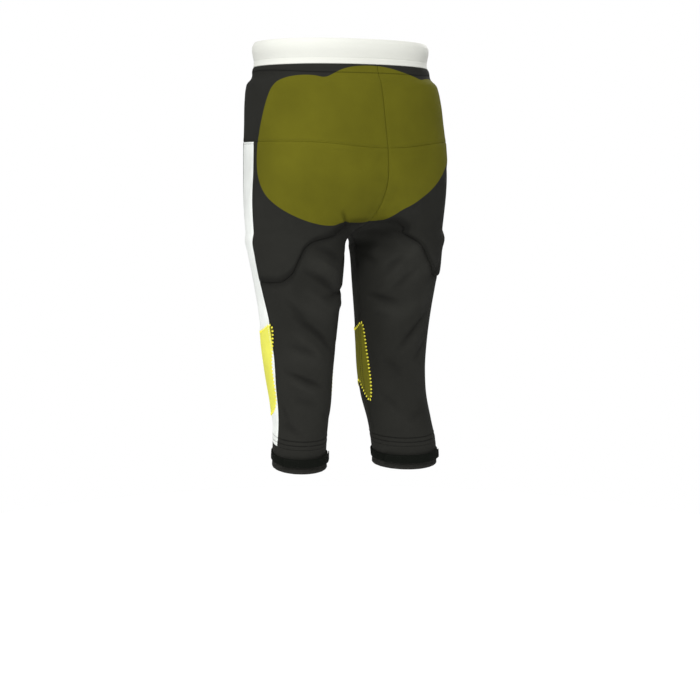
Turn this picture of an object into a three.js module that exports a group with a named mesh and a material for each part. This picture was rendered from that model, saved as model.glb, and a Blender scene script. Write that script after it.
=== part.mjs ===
// Padded three-quarter-length tights, worn form, in millimetres.
// +Z is up, the wearer faces -Y and the wearer's left side is at +X.
// The origin is the centre of the waist opening at its top rim.
//
// One garment surface carries every piece. A place on it is a side (left or right), a turn and a depth:
// turn 0 is the centre front and the inseam, 0.25 the front of the leg, 0.5 the outer side,
// 0.75 the back of the leg and 1 the centre back and the inseam again; depth is measured down from the rim.

import * as THREE from 'three';

// Lengths down the garment
const RISE = 297;             // waist rim to the crotch
const INSEAM = 379;           // crotch to the hem, mean of the two legs
const BAND_HEIGHT = 40;
const HIP_SEAM = 157;         // rim to the hip seam, at the sides
const HIP_SEAM_DIP = 10;      // the hip seam hangs lower at the centre back
const SEAT_SEAM_ABOVE = 18;   // seat seam above the crotch, at the centre back
const SEAT_SEAM_BELOW = 75;   // seat seam below the crotch, at the side stripe
const CUFF_HEIGHT = 38;
const CUFF_DIP = 4;           // each hem hangs lower behind and higher in front
const STRAP_HEIGHT = 12.5;
const STRAP_ABOVE_HEM = 11;
const TAB_OVERHANG = 0.6;     // the tab is a little wider than its strap, each edge
const HEM_DROP = { left: -4.5, right: 4.5 };  // the bent leg's hem sits lower

// Widths and depths of the body that it holds
const WAIST_WIDTH = 289;
const WAIST_FRONT = 104;
const WAIST_BACK = 112;
const HIP_WIDTH = 341;
const HIP_FRONT = 116;
const HIP_BACK = 131;
const SEAT_SHIFT = 15;        // how far back the hips lie of the waist
const THIGH_RADIUS = 83;
const CUFF_RADIUS = 50;
const LEG_GAP = 45;           // inseam to the centre plane, at the hem
const CALF_BACK = 45;         // how far back the bent leg's calf lies
const STRIPE_WIDTH = 50;

// Walls and clearances
const CLOTH = 1.5;
const BAND_WALL = 2.4;
const STRAP_WALL = 1.6;
const TAB_WALL = 1.4;
const PAD_BASE = 4;
const PAD_BLOCK = 4;          // the raised blocks stand this far off the base
const KNEE_PAD_WALL = 8;
const SEAM_GAP = 0.4;         // between cloth edges that are sewn together
const STRAP_GAP = 0.5;
const TAB_GAP = 0.7;
const POCKET_GAP = 1.1;       // between a pad and the cloth over it

const HEM = RISE + INSEAM;
const FORK_START = 0.673;     // share of the rise where the trunk starts to part into legs
const TRUNK_ROUND = 0.92;     // below 1 the trunk's section is a little square

// Sections of the trunk. down is a share of the rise; wide, front and back go from 0 at the waist's
// size to 1 at the hips' size; shift is a share of SEAT_SHIFT.
const TRUNK = [
  { down: 0.000, wide: 0.00, front: 0.00, back: 0.00, shift: 0.00 },
  { down: 0.040, wide: -0.04, front: -0.08, back: -0.05, shift: 0.00 },
  { down: 0.121, wide: -0.06, front: -0.08, back: -0.05, shift: 0.00 },
  { down: 0.155, wide: 0.10, front: 0.00, back: 0.00, shift: 0.07 },
  { down: 0.189, wide: 0.15, front: 0.12, back: 0.13, shift: 0.14 },
  { down: 0.202, wide: 0.24, front: 0.20, back: 0.20, shift: 0.17 },
  { down: 0.219, wide: 0.46, front: 0.31, back: 0.30, shift: 0.21 },
  { down: 0.253, wide: 0.60, front: 0.48, back: 0.41, shift: 0.28 },
  { down: 0.303, wide: 0.69, front: 0.67, back: 0.53, shift: 0.40 },
  { down: 0.438, wide: 0.81, front: 0.92, back: 0.79, shift: 0.60 },
  { down: 0.572, wide: 0.92, front: 1.00, back: 1.00, shift: 0.80 },
  { down: 0.707, wide: 0.98, front: 0.83, back: 1.00, shift: 0.93 },
  { down: 0.842, wide: 1.02, front: 0.25, back: 0.74, shift: 1.00 },
  { down: 1.000, wide: 1.02, front: -0.50, back: 0.21, shift: 1.00 },
];

// Sections of each leg. down is a share of the inseam; inner is the inseam's distance from the centre
// plane as a share of LEG_GAP; back is a share of CALF_BACK; deep and wide go from 0 at the cuff's radius
// to 1 at the thigh's; turn is how far the section's long axis is turned, in degrees.
const LEG = {
  left: [
    { down: 0.000, inner: 0.00, back: 0.356, deep: 1.03, wide: 1.05, turn: 0 },
    { down: 0.035, inner: 0.27, back: 0.360, deep: 0.96, wide: 0.89, turn: 0 },
    { down: 0.087, inner: 0.32, back: 0.367, deep: 0.88, wide: 0.80, turn: 0 },
    { down: 0.219, inner: 0.42, back: 0.378, deep: 0.67, wide: 0.59, turn: 0 },
    { down: 0.351, inner: 0.54, back: 0.378, deep: 0.47, wide: 0.38, turn: 0 },
    { down: 0.483, inner: 0.65, back: 0.378, deep: 0.30, wide: 0.26, turn: 0 },
    { down: 0.615, inner: 0.79, back: 0.422, deep: 0.18, wide: 0.08, turn: 0 },
    { down: 0.720, inner: 0.88, back: 0.511, deep: 0.12, wide: -0.05, turn: 10 },
    { down: 0.826, inner: 0.98, back: 0.511, deep: 0.09, wide: -0.18, turn: 20 },
    { down: 0.931, inner: 1.00, back: 0.489, deep: 0.12, wide: -0.20, turn: 28 },
    { down: 1.037, inner: 0.98, back: 0.511, deep: 0.12, wide: -0.18, turn: 30 },
  ],
  right: [
    { down: 0.000, inner: 0.00, back: 0.356, deep: 1.03, wide: 1.05, turn: 0 },
    { down: 0.035, inner: 0.32, back: 0.367, deep: 0.96, wide: 0.90, turn: 0 },
    { down: 0.087, inner: 0.39, back: 0.378, deep: 0.88, wide: 0.78, turn: 0 },
    { down: 0.219, inner: 0.47, back: 0.389, deep: 0.65, wide: 0.58, turn: 0 },
    { down: 0.351, inner: 0.57, back: 0.356, deep: 0.47, wide: 0.39, turn: 0 },
    { down: 0.483, inner: 0.64, back: 0.311, deep: 0.32, wide: 0.27, turn: 0 },
    { down: 0.615, inner: 0.70, back: 0.333, deep: 0.24, wide: 0.17, turn: 0 },
    { down: 0.720, inner: 0.76, back: 0.467, deep: 0.17, wide: 0.12, turn: 0 },
    { down: 0.826, inner: 0.84, back: 0.756, deep: 0.03, wide: 0.11, turn: 0 },
    { down: 0.931, inner: 0.87, back: 0.956, deep: -0.03, wide: 0.16, turn: 0 },
    { down: 1.037, inner: 0.91, back: 1.000, deep: -0.03, wide: 0.13, turn: 0 },
  ],
};

// How fast a thigh's section widens up into the seat, per millimetre of height
const FLARE = { deep: 0.144, wide: 0.041 };

// Back edge of the side stripe. down goes from 0 at the hip seam to 1 at the hem; turn as above.
const STRIPE_BACK = [
  { down: 0.00, turn: 0.520 },
  { down: 0.11, turn: 0.517 },
  { down: 0.25, turn: 0.514 },
  { down: 0.35, turn: 0.507 },
  { down: 0.46, turn: 0.518 },
  { down: 0.55, turn: 0.537 },
  { down: 0.62, turn: 0.552 },
  { down: 0.76, turn: 0.543 },
  { down: 0.92, turn: 0.531 },
  { down: 1.00, turn: 0.528 },
];

// Curved seam under the seat; the legs' pose pulls it differently on each side. across goes from 0 at the
// stripe to 1 at the centre back; drop goes from 0 at the seam's height at the centre back to 1 at its
// height at the stripe.
const SEAT_SEAM = {
  left: [
    { across: 0.000, drop: 1.00 },
    { across: 0.150, drop: 1.00 },
    { across: 0.220, drop: 0.98 },
    { across: 0.270, drop: 0.91 },
    { across: 0.310, drop: 0.81 },
    { across: 0.345, drop: 0.64 },
    { across: 0.380, drop: 0.46 },
    { across: 0.420, drop: 0.34 },
    { across: 0.480, drop: 0.28 },
    { across: 0.550, drop: 0.22 },
    { across: 0.640, drop: 0.12 },
    { across: 0.750, drop: 0.04 },
    { across: 1.000, drop: 0.00 },
  ],
  right: [
    { across: 0.000, drop: 1.00 },
    { across: 0.200, drop: 1.00 },
    { across: 0.320, drop: 0.97 },
    { across: 0.410, drop: 0.77 },
    { across: 0.500, drop: 0.46 },
    { across: 0.560, drop: 0.31 },
    { across: 0.620, drop: 0.17 },
    { across: 0.700, drop: 0.07 },
    { across: 0.790, drop: 0.01 },
    { across: 0.900, drop: 0.00 },
    { across: 1.000, drop: 0.00 },
  ],
};

// Drag folds of the worn cloth, as soft ridges between two places. Turns as above; downs are shares of
// the whole length; high is a share of FOLD_HEIGHT and wide a share of FOLD_WIDTH.
const FOLD_HEIGHT = 3;
const FOLD_WIDTH = 13;
const FOLDS = {
  left: [
    { turn: 0.67, down: 0.50, turn_end: 0.87, down_end: 0.56, high: 1.0, wide: 1.0 },
    { turn: 0.61, down: 0.58, turn_end: 0.86, down_end: 0.65, high: 0.9, wide: 1.0 },
    { turn: 0.60, down: 0.71, turn_end: 0.84, down_end: 0.75, high: 0.7, wide: 0.8 },
  ],
  right: [
    { turn: 0.92, down: 0.53, turn_end: 0.72, down_end: 0.47, high: 0.9, wide: 1.0 },
    { turn: 0.90, down: 0.58, turn_end: 0.66, down_end: 0.50, high: 1.0, wide: 1.0 },
    { turn: 0.86, down: 0.66, turn_end: 0.62, down_end: 0.57, high: 0.8, wide: 0.9 },
  ],
};

// Edges of the pads. along goes from 0 at the pad's top to 1 at its bottom and holds the two side edges
// as turns from the centre back; across goes from 0 at the pad's inner edge to 1 at its outer edge and
// holds the top and bottom edges as shares of PAD_TOP to PAD_BOTTOM.
const PAD_TOP = 50;
const PAD_BOTTOM = 279;
const PADS = {
  hip_pad_left: {
    along: [
      { at: 0.0, inner: 0.176, outer: 0.350 },
      { at: 0.2, inner: 0.170, outer: 0.420 },
      { at: 0.5, inner: 0.158, outer: 0.444 },
      { at: 0.8, inner: 0.140, outer: 0.430 },
      { at: 1.0, inner: 0.128, outer: 0.350 },
    ],
    across: [
      { at: 0.0, top: 0.085, bottom: 0.960 },
      { at: 0.2, top: 0.060, bottom: 1.000 },
      { at: 0.5, top: 0.052, bottom: 0.965 },
      { at: 0.8, top: 0.085, bottom: 0.900 },
      { at: 1.0, top: 0.180, bottom: 0.800 },
    ],
  },
  tail_pad: {
    along: [
      { at: 0.0, inner: -0.155, outer: 0.155 },
      { at: 0.2, inner: -0.160, outer: 0.160 },
      { at: 0.5, inner: -0.147, outer: 0.147 },
      { at: 0.8, inner: -0.127, outer: 0.127 },
      { at: 1.0, inner: -0.085, outer: 0.085 },
    ],
    across: [
      { at: 0.0, top: 0.075, bottom: 0.890 },
      { at: 0.2, top: 0.010, bottom: 0.925 },
      { at: 0.5, top: -0.010, bottom: 0.945 },
      { at: 0.8, top: 0.010, bottom: 0.925 },
      { at: 1.0, top: 0.075, bottom: 0.890 },
    ],
  },
  hip_pad_right: {
    along: [
      { at: 0.0, inner: -0.176, outer: -0.350 },
      { at: 0.2, inner: -0.170, outer: -0.420 },
      { at: 0.5, inner: -0.158, outer: -0.444 },
      { at: 0.8, inner: -0.140, outer: -0.420 },
      { at: 1.0, inner: -0.128, outer: -0.350 },
    ],
    across: [
      { at: 0.0, top: 0.085, bottom: 0.895 },
      { at: 0.2, top: 0.060, bottom: 0.880 },
      { at: 0.5, top: 0.052, bottom: 0.790 },
      { at: 0.8, top: 0.085, bottom: 0.700 },
      { at: 1.0, top: 0.180, bottom: 0.620 },
    ],
  },
};
const BLOCK_COLUMNS = 4;
const BLOCK_ROWS = 4;
const CROWN_SHARE = 0.13;     // smooth band across a pad's top, as a share of its height
const CHANNEL = 0.03;         // half a channel's width, as a share of the pad's width
const PAD_BEVEL = 0.035;      // width of the sloped rim, as a share of the pad's width

// Knee pads, a long shield round the front of each knee. down goes from 0 at the pad's top to 1 at its
// bottom; reach is a share of KNEE_REACH_SHARE, the part of a turn that it covers each way.
const KNEE_TOP = 140;         // crotch to the pad's top
const KNEE_HEIGHT = 141;
const KNEE_MIDDLE_SHARE = 0.255;  // where its middle lies, as a share of a turn
const KNEE_REACH_SHARE = 0.29;
const KNEE = [
  { down: 0.00, reach: 0.50 },
  { down: 0.12, reach: 0.86 },
  { down: 0.30, reach: 0.99 },
  { down: 0.60, reach: 0.97 },
  { down: 0.85, reach: 0.80 },
  { down: 1.00, reach: 0.42 },
];

// Where the strap's overlapping end starts and stops, as shares of a turn
const TAB_START_SHARE = 0.593;
const TAB_STOP_SHARE = 0.936;

const BLACK_CLOTH = { color: 0x2d2e2a, roughness: 0.85, metalness: 0 };
const WHITE_CLOTH = { color: 0xe9ebe6, roughness: 0.75, metalness: 0 };
const BAND_CLOTH = { color: 0xf5f6ee, roughness: 0.7, metalness: 0 };
const STRAP_CLOTH = { color: 0x262823, roughness: 0.95, metalness: 0 };
const PAD_FOAM = { color: 0xede53c, roughness: 0.45, metalness: 0 };

const TURN = 2 * Math.PI;
const mix = (a, b, share) => a + (b - a) * share;
const clamp = (value, low, high) => Math.min(high, Math.max(low, value));

// Reads one column of a table at a place, on a smooth curve through the rows.
function read(rows, place, column, at) {
  const last = rows.length - 1;
  const x = clamp(at, rows[0][place], rows[last][place]);
  const slope = (i) => (rows[i + 1][column] - rows[i][column]) / (rows[i + 1][place] - rows[i][place]);
  const step = (i) => rows[i + 1][place] - rows[i][place];
  const tangent = (i) => {
    if (i === 0) return slope(0);
    if (i === last) return slope(last - 1);
    return (slope(i - 1) * step(i) + slope(i) * step(i - 1)) / (step(i - 1) + step(i));
  };
  let i = 0;
  while (i < last - 1 && x >= rows[i + 1][place]) i += 1;
  const h = step(i);
  const t = (x - rows[i][place]) / h;
  const t2 = t * t;
  const t3 = t2 * t;
  return rows[i][column] * (2 * t3 - 3 * t2 + 1) + rows[i + 1][column] * (3 * t2 - 2 * t3)
    + tangent(i) * h * (t3 - 2 * t2 + t) + tangent(i + 1) * h * (t3 - t2);
}

// The trunk's section at a depth, as x and y of one side.
function trunkPlace(turn, down) {
  const at = Math.min(down, RISE) / RISE;
  const half = mix(WAIST_WIDTH, HIP_WIDTH, read(TRUNK, 'down', 'wide', at)) / 2;
  const front = mix(WAIST_FRONT, HIP_FRONT, read(TRUNK, 'down', 'front', at));
  const back = mix(WAIST_BACK, HIP_BACK, read(TRUNK, 'down', 'back', at));
  const shift = SEAT_SHIFT * read(TRUNK, 'down', 'shift', at);
  const sine = Math.sin(Math.PI * turn);
  const cosine = Math.cos(Math.PI * turn);
  const reach = cosine > 0 ? -front : back;
  return {
    x: half * Math.sign(sine) * Math.abs(sine) ** TRUNK_ROUND,
    y: shift + reach * Math.abs(cosine) ** TRUNK_ROUND,
  };
}

// A leg's section at a depth: an ellipse that may be turned, whose inner side is at the inseam.
function legPlace(side, turn, down) {
  const rows = LEG[side];
  const at = Math.max(down - RISE, 0) / INSEAM;
  const above = Math.max(RISE - down, 0);
  const deep = mix(CUFF_RADIUS, THIGH_RADIUS, read(rows, 'down', 'deep', at)) + FLARE.deep * above;
  const wide = mix(CUFF_RADIUS, THIGH_RADIUS, read(rows, 'down', 'wide', at)) + FLARE.wide * above;
  const tilt = THREE.MathUtils.degToRad(read(rows, 'down', 'turn', at));
  const radius = (x, y) => {
    const along = x * Math.sin(tilt) + y * Math.cos(tilt);
    const across = x * Math.cos(tilt) - y * Math.sin(tilt);
    return 1 / Math.hypot(along / deep, across / wide);
  };
  const x = -Math.cos(TURN * turn);
  const y = -Math.sin(TURN * turn);
  const centre = LEG_GAP * read(rows, 'down', 'inner', at) + radius(-1, 0);
  return {
    x: centre + radius(x, y) * x,
    y: CALF_BACK * read(rows, 'down', 'back', at) + radius(x, y) * y,
  };
}

// A place on the outer face of the cloth, without its folds. The trunk turns into the legs with a round
// fork at the centre lines and with a smooth change at the outer sides.
function surface(side, turn, down) {
  const t = clamp((down / RISE - FORK_START) / (1 - FORK_START), 0, 1);
  const round = 1 - Math.sqrt(1 - t * t);
  const smooth = t * t * (3 - 2 * t);
  const leg = mix(round, smooth, Math.sin(Math.PI * turn) ** 2);
  const a = trunkPlace(turn, down);
  const b = legPlace(side, turn, down);
  const x = mix(a.x, b.x, leg) + SEAM_GAP / 2;
  return new THREE.Vector3(side === 'left' ? x : -x, mix(a.y, b.y, leg), -down);
}

// Millimetres of cloth for one whole turn, at a place.
function clothPerTurn(side, turn, down) {
  const step = 0.002;
  const start = surface(side, turn - step, down);
  return surface(side, turn + step, down).sub(start).length() / (2 * step);
}

// The outward direction at a place. On the trunk's centre lines it has no sideways part, so that the
// two sides' edges meet face to face there.
function outward(side, turn, down) {
  const step = 0.004;
  const drop = 1;
  const edge = clamp(turn, step, 1 - step);
  const here = down < RISE ? edge : turn;
  const around = surface(side, here + step, down).sub(surface(side, here - step, down));
  const downward = surface(side, here, down + drop).sub(surface(side, here, down - drop));
  const normal = side === 'left' ? downward.cross(around) : around.cross(downward);
  if (down < RISE && (turn < step || turn > 1 - step)) normal.x = 0;
  return normal.normalize();
}

// Height of the drag folds at a place.
function foldHeight(side, turn, down) {
  const perTurn = TURN * mix(CUFF_RADIUS, THIGH_RADIUS, 0.5);
  let height = 0;
  for (const fold of FOLDS[side]) {
    const start = new THREE.Vector2(fold.turn * perTurn, fold.down * HEM);
    const run = new THREE.Vector2(fold.turn_end * perTurn, fold.down_end * HEM).sub(start);
    const from = new THREE.Vector2(turn * perTurn, down).sub(start);
    const along = from.dot(run) / run.lengthSq();
    const across = from.cross(run) / run.length() / (FOLD_WIDTH * fold.wide);
    const taper = Math.sin(Math.PI * clamp(along, 0, 1));
    height += fold.high * FOLD_HEIGHT * taper * Math.exp(-across * across);
  }
  return height;
}

const hemDown = (side, turn) => HEM + HEM_DROP[side] - CUFF_DIP * Math.sin(TURN * turn);
const cuffTop = (side, turn) => hemDown(side, turn) - CUFF_HEIGHT;
const stripeBack = (down) => read(STRIPE_BACK, 'down', 'turn', (down - HIP_SEAM) / (HEM - HIP_SEAM));
const stripeFront = (side, down) => {
  const back = stripeBack(down);
  return back - STRIPE_WIDTH / clothPerTurn(side, back, down);
};
const hipSeam = (turn) => {
  const spread = 0.16;
  return HIP_SEAM + HIP_SEAM_DIP * Math.exp(-(((1 - turn) / spread) ** 2));
};
const seatSeam = (side, across) => (
  RISE + mix(-SEAT_SEAM_ABOVE, SEAT_SEAM_BELOW, read(SEAT_SEAM[side], 'across', 'drop', across))
);

// A closed thin body over rows of places. Each place is {side, turn, down, lift}: lift moves the outer
// face off the garment surface, and the inner face lies a wall further in. A ring's last column joins
// its first.
function thinBody(rows, wall, ring = false) {
  const height = rows.length;
  const width = rows[0].length;
  const columns = ring ? width : width - 1;
  const positions = [];
  for (const inner of [0, 1]) {
    for (const row of rows) {
      for (const place of row) {
        const normal = outward(place.side, place.turn, place.down);
        const lift = place.lift - (inner ? wall + (place.extra ?? 0) : 0);
        const point = surface(place.side, place.turn, place.down).addScaledVector(normal, lift);
        positions.push(point.x, point.y, point.z);
      }
    }
  }
  const outer = (r, c) => r * width + (c % width);
  const inside = (r, c) => height * width + outer(r, c);
  const faces = [];
  const quad = (a, b, c, d) => faces.push(a, b, c, a, c, d);
  for (let r = 0; r < height - 1; r += 1) {
    for (let c = 0; c < columns; c += 1) {
      quad(outer(r, c), outer(r + 1, c), outer(r + 1, c + 1), outer(r, c + 1));
      quad(inside(r, c), inside(r, c + 1), inside(r + 1, c + 1), inside(r + 1, c));
    }
  }
  for (let c = 0; c < columns; c += 1) {
    quad(outer(0, c), outer(0, c + 1), inside(0, c + 1), inside(0, c));
    quad(outer(height - 1, c), inside(height - 1, c), inside(height - 1, c + 1), outer(height - 1, c + 1));
  }
  if (!ring) {
    for (let r = 0; r < height - 1; r += 1) {
      quad(outer(r, 0), inside(r, 0), inside(r + 1, 0), outer(r + 1, 0));
      quad(outer(r, width - 1), outer(r + 1, width - 1), inside(r + 1, width - 1), inside(r, width - 1));
    }
  }
  const geometry = new THREE.BufferGeometry();
  geometry.setAttribute('position', new THREE.Float32BufferAttribute(positions, 3));
  geometry.setIndex(faces);
  geometry.computeVertexNormals();
  return geometry;
}

// Rows of places read so that the outer face points out: right-hand pieces run the other way round.
const faceOut = (side, rows) => (side === 'left' ? rows : rows.map((row) => [...row].reverse()));

// A cloth panel. downAt(across, along) gives its depth and turnsAt(down) its two side edges; along and
// across are lists of shares from 0 to 1. Every edge keeps half a seam gap.
function clothPanel(side, across, along, downAt, turnsAt) {
  const rows = along.map((t, r) => across.map((s, c) => {
    const gap = SEAM_GAP / 2;
    const rim = (r === 0 ? gap : 0) - (r === along.length - 1 ? gap : 0);
    const down = downAt(s, t) + rim;
    const [first, last] = turnsAt(down);
    const edge = (c === 0 ? gap : 0) - (c === across.length - 1 ? gap : 0);
    const plain = mix(first, last, s);
    const turn = plain + edge / clothPerTurn(side, plain, down);
    return { side, turn, down, lift: foldHeight(side, turn, down) };
  }));
  return thinBody(faceOut(side, rows), CLOTH);
}

const shares = (count) => Array.from({ length: count + 1 }, (_, i) => i / count);

// Depths of the rows in the fork, closer together where the cloth turns under the crotch
const FORK_STEPS = 8;
const forkDown = (step) => mix(FORK_START, 1, Math.sin((Math.PI / 2) * (step / FORK_STEPS))) * RISE;
const LEG_ROWS = 15;
const FRONT_COLUMNS = 9;
const STRIPE_COLUMNS = 3;
const BACK_COLUMNS = 13;

// The depths of a front or stripe row: two rows on the hip, every other fork row, then the leg.
function frontShares(side) {
  const top = HIP_SEAM;
  const bottom = cuffTop(side, 0);
  const downs = [top, mix(top, FORK_START * RISE, 0.5)];
  for (let step = 0; step <= FORK_STEPS; step += 2) downs.push(forkDown(step));
  for (let row = 1; row <= LEG_ROWS; row += 1) downs.push(mix(RISE, bottom, row / LEG_ROWS));
  return downs.map((down) => (down - top) / (bottom - top));
}

// The seat seam leaves the centre back near this fork row, so the rows of both panels meet there.
const SEAM_STEP = 5;
function seatShares(side) {
  const top = HIP_SEAM + HIP_SEAM_DIP;
  const bottom = seatSeam(side, 1);
  const downs = [top, mix(top, FORK_START * RISE, 0.5)];
  for (let step = 0; step < SEAM_STEP; step += 1) downs.push(forkDown(step));
  downs.push(bottom);
  return downs.map((down) => (down - top) / (bottom - top));
}
function legBackShares(side) {
  const top = seatSeam(side, 1);
  const bottom = cuffTop(side, 1);
  const downs = [top];
  for (let step = SEAM_STEP + 1; step <= FORK_STEPS; step += 1) downs.push(forkDown(step));
  for (let row = 1; row <= LEG_ROWS; row += 1) downs.push(mix(RISE, bottom, row / LEG_ROWS));
  return downs.map((down) => (down - top) / (bottom - top));
}

function frontPanel(side) {
  const turns = (down) => [0, stripeFront(side, down)];
  const downAt = (s, t) => (
    mix(hipSeam(s * stripeFront(side, HIP_SEAM)), cuffTop(side, s * stripeFront(side, HEM)), t)
  );
  return clothPanel(side, shares(FRONT_COLUMNS), frontShares(side), downAt, turns);
}

function sideStripe(side) {
  const turns = (down) => [stripeFront(side, down), stripeBack(down)];
  const downAt = (s, t) => {
    const turn = mix(stripeFront(side, HEM), stripeBack(HEM), s);
    return mix(hipSeam(turn), cuffTop(side, turn), t);
  };
  return clothPanel(side, shares(STRIPE_COLUMNS), frontShares(side), downAt, turns);
}

function seatPanel(side) {
  const turns = (down) => [stripeBack(down), 1];
  const downAt = (s, t) => mix(hipSeam(mix(stripeBack(HIP_SEAM), 1, s)), seatSeam(side, s), t);
  return clothPanel(side, shares(BACK_COLUMNS), seatShares(side), downAt, turns);
}

function legBack(side) {
  const turns = (down) => [stripeBack(down), 1];
  const downAt = (s, t) => mix(seatSeam(side, s), cuffTop(side, mix(stripeBack(HEM), 1, s)), t);
  return clothPanel(side, shares(BACK_COLUMNS), legBackShares(side), downAt, turns);
}

// The yoke's columns line up with those of the three panels below it, and its rows lie closer together
// on the shelf under the waistband.
const YOKE_ALONG = [0, 0.1, 0.15, 0.2, 0.32, 0.62, 1];
function yoke(side) {
  const front = stripeFront(side, HIP_SEAM);
  const back = stripeBack(HIP_SEAM);
  const across = [
    ...shares(FRONT_COLUMNS).map((s) => s * front),
    ...shares(STRIPE_COLUMNS).slice(1).map((s) => mix(front, back, s)),
    ...shares(BACK_COLUMNS).slice(1).map((s) => mix(back, 1, s)),
  ];
  const downAt = (s, t) => mix(BAND_HEIGHT, hipSeam(s), t);
  return clothPanel(side, across, YOKE_ALONG, downAt, () => [0, 1]);
}

const RING_ROWS = 2;
const RING_COLUMNS = 26;

// The waistband, one ring over both sides.
function waistband() {
  const columns = FRONT_COLUMNS + STRIPE_COLUMNS + BACK_COLUMNS;
  const rows = shares(RING_ROWS).map((t) => {
    const place = (side, turn) => ({ side, turn, down: t * (BAND_HEIGHT - SEAM_GAP / 2), lift: 0 });
    const left = shares(columns).map((turn) => place('left', turn));
    const right = shares(columns).map((turn) => place('right', 1 - turn));
    return [...left, ...right];
  });
  return thinBody(rows, BAND_WALL, true);
}

// A ring round one leg, from one height above the hem to another.
function legRing(side, high, low, outset, wall) {
  const rows = shares(RING_ROWS).map((t) => Array.from({ length: RING_COLUMNS }, (_, c) => {
    const turn = c / RING_COLUMNS;
    return { side, turn, down: hemDown(side, turn) - mix(high, low, t), lift: outset };
  }));
  return thinBody(faceOut(side, rows), wall, true);
}

const hemCuff = (side) => legRing(side, CUFF_HEIGHT - SEAM_GAP / 2, 0, 0, CLOTH);
const STRAP_OUTSET = STRAP_GAP + STRAP_WALL;
const calfStrap = (side) => (
  legRing(side, STRAP_ABOVE_HEM + STRAP_HEIGHT, STRAP_ABOVE_HEM, STRAP_OUTSET, STRAP_WALL)
);

function strapTab(side) {
  const high = STRAP_ABOVE_HEM + STRAP_HEIGHT + TAB_OVERHANG;
  const low = STRAP_ABOVE_HEM - TAB_OVERHANG;
  const columns = Math.round(RING_COLUMNS * (TAB_STOP_SHARE - TAB_START_SHARE));
  const rows = [0, 1].map((t) => shares(columns).map((s) => {
    const turn = mix(TAB_START_SHARE, TAB_STOP_SHARE, s);
    const lift = STRAP_OUTSET + TAB_GAP + TAB_WALL;
    return { side, turn, down: hemDown(side, turn) - mix(high, low, t), lift };
  }));
  return thinBody(faceOut(side, rows), TAB_WALL);
}

const KNEE_ROWS = 8;
const KNEE_COLUMNS = 10;
function kneePad(side) {
  const rows = shares(KNEE_ROWS).map((t) => shares(KNEE_COLUMNS).map((s) => {
    const down = RISE + KNEE_TOP + KNEE_HEIGHT * t;
    const turn = KNEE_MIDDLE_SHARE + KNEE_REACH_SHARE * read(KNEE, 'down', 'reach', t) * (2 * s - 1);
    return { side, turn, down, lift: -CLOTH - POCKET_GAP };
  }));
  return thinBody(faceOut(side, rows), KNEE_PAD_WALL);
}

// Where a moulded pad's surface lines lie, from 0 to 1: rim, bevel, then each block's two edges with a
// channel between. Each line says whether it is high or low.
function blockLines(starts, bevel, channel) {
  const lines = [{ at: 0, high: 0 }, { at: bevel, high: 1 }];
  for (const start of starts) {
    lines.push({ at: start - channel, high: 1 }, { at: start, high: 0 }, { at: start + channel, high: 1 });
  }
  lines.push({ at: 1 - bevel, high: 1 }, { at: 1, high: 0 });
  return lines;
}

function mouldedPad(name) {
  const { along, across } = PADS[name];
  const columnStarts = shares(BLOCK_COLUMNS).slice(1, -1);
  const rowStarts = shares(BLOCK_ROWS).slice(0, -1).map((s) => mix(CROWN_SHARE, 1, s));
  const columns = blockLines(columnStarts, PAD_BEVEL, CHANNEL);
  const lines = blockLines(rowStarts, PAD_BEVEL, CHANNEL);
  const rows = lines.map(({ at: t, high: highRow }) => columns.map(({ at: s, high: highColumn }) => {
    const fromCentre = mix(read(along, 'at', 'inner', t), read(along, 'at', 'outer', t), s);
    const depth = mix(read(across, 'at', 'top', s), read(across, 'at', 'bottom', s), t);
    const block = PAD_BLOCK * highRow * highColumn;
    return {
      side: fromCentre >= 0 ? 'left' : 'right',
      turn: 1 - Math.abs(fromCentre),
      down: mix(PAD_TOP, PAD_BOTTOM, depth),
      lift: -CLOTH - POCKET_GAP - PAD_BLOCK + block,
      extra: block,
    };
  }));
  const runsBack = along[0].outer > along[0].inner;
  return thinBody(runsBack ? rows.map((row) => [...row].reverse()) : rows, PAD_BASE);
}

const garment = new THREE.Group();

function add(name, geometry, finish) {
  const mesh = new THREE.Mesh(geometry, new THREE.MeshStandardMaterial(finish));
  mesh.name = name;
  garment.add(mesh);
}

add('waistband', waistband(), BAND_CLOTH);
for (const side of ['left', 'right']) {
  add(`yoke_${side}`, yoke(side), BLACK_CLOTH);
  add(`seat_panel_${side}`, seatPanel(side), BLACK_CLOTH);
  add(`leg_back_${side}`, legBack(side), BLACK_CLOTH);
  add(`side_stripe_${side}`, sideStripe(side), WHITE_CLOTH);
  add(`front_panel_${side}`, frontPanel(side), BLACK_CLOTH);
  add(`hem_cuff_${side}`, hemCuff(side), BLACK_CLOTH);
  add(`calf_strap_${side}`, calfStrap(side), STRAP_CLOTH);
  add(`strap_tab_${side}`, strapTab(side), STRAP_CLOTH);
  add(`knee_pad_${side}`, kneePad(side), PAD_FOAM);
}
for (const name of Object.keys(PADS)) add(name, mouldedPad(name), PAD_FOAM);

export default garment;
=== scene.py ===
"""Padded three-quarter-length tights, worn form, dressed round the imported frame.

One garment surface carries every piece. A place on it is a side, a turn and a depth, all as in the
part's source: turn 0 is the centre front and the inseam, 0.5 the outer side and 1 the centre back,
and depth is millimetres down from the waist rim. Lengths are millimetres until a mesh is made.
"""
import math

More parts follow.
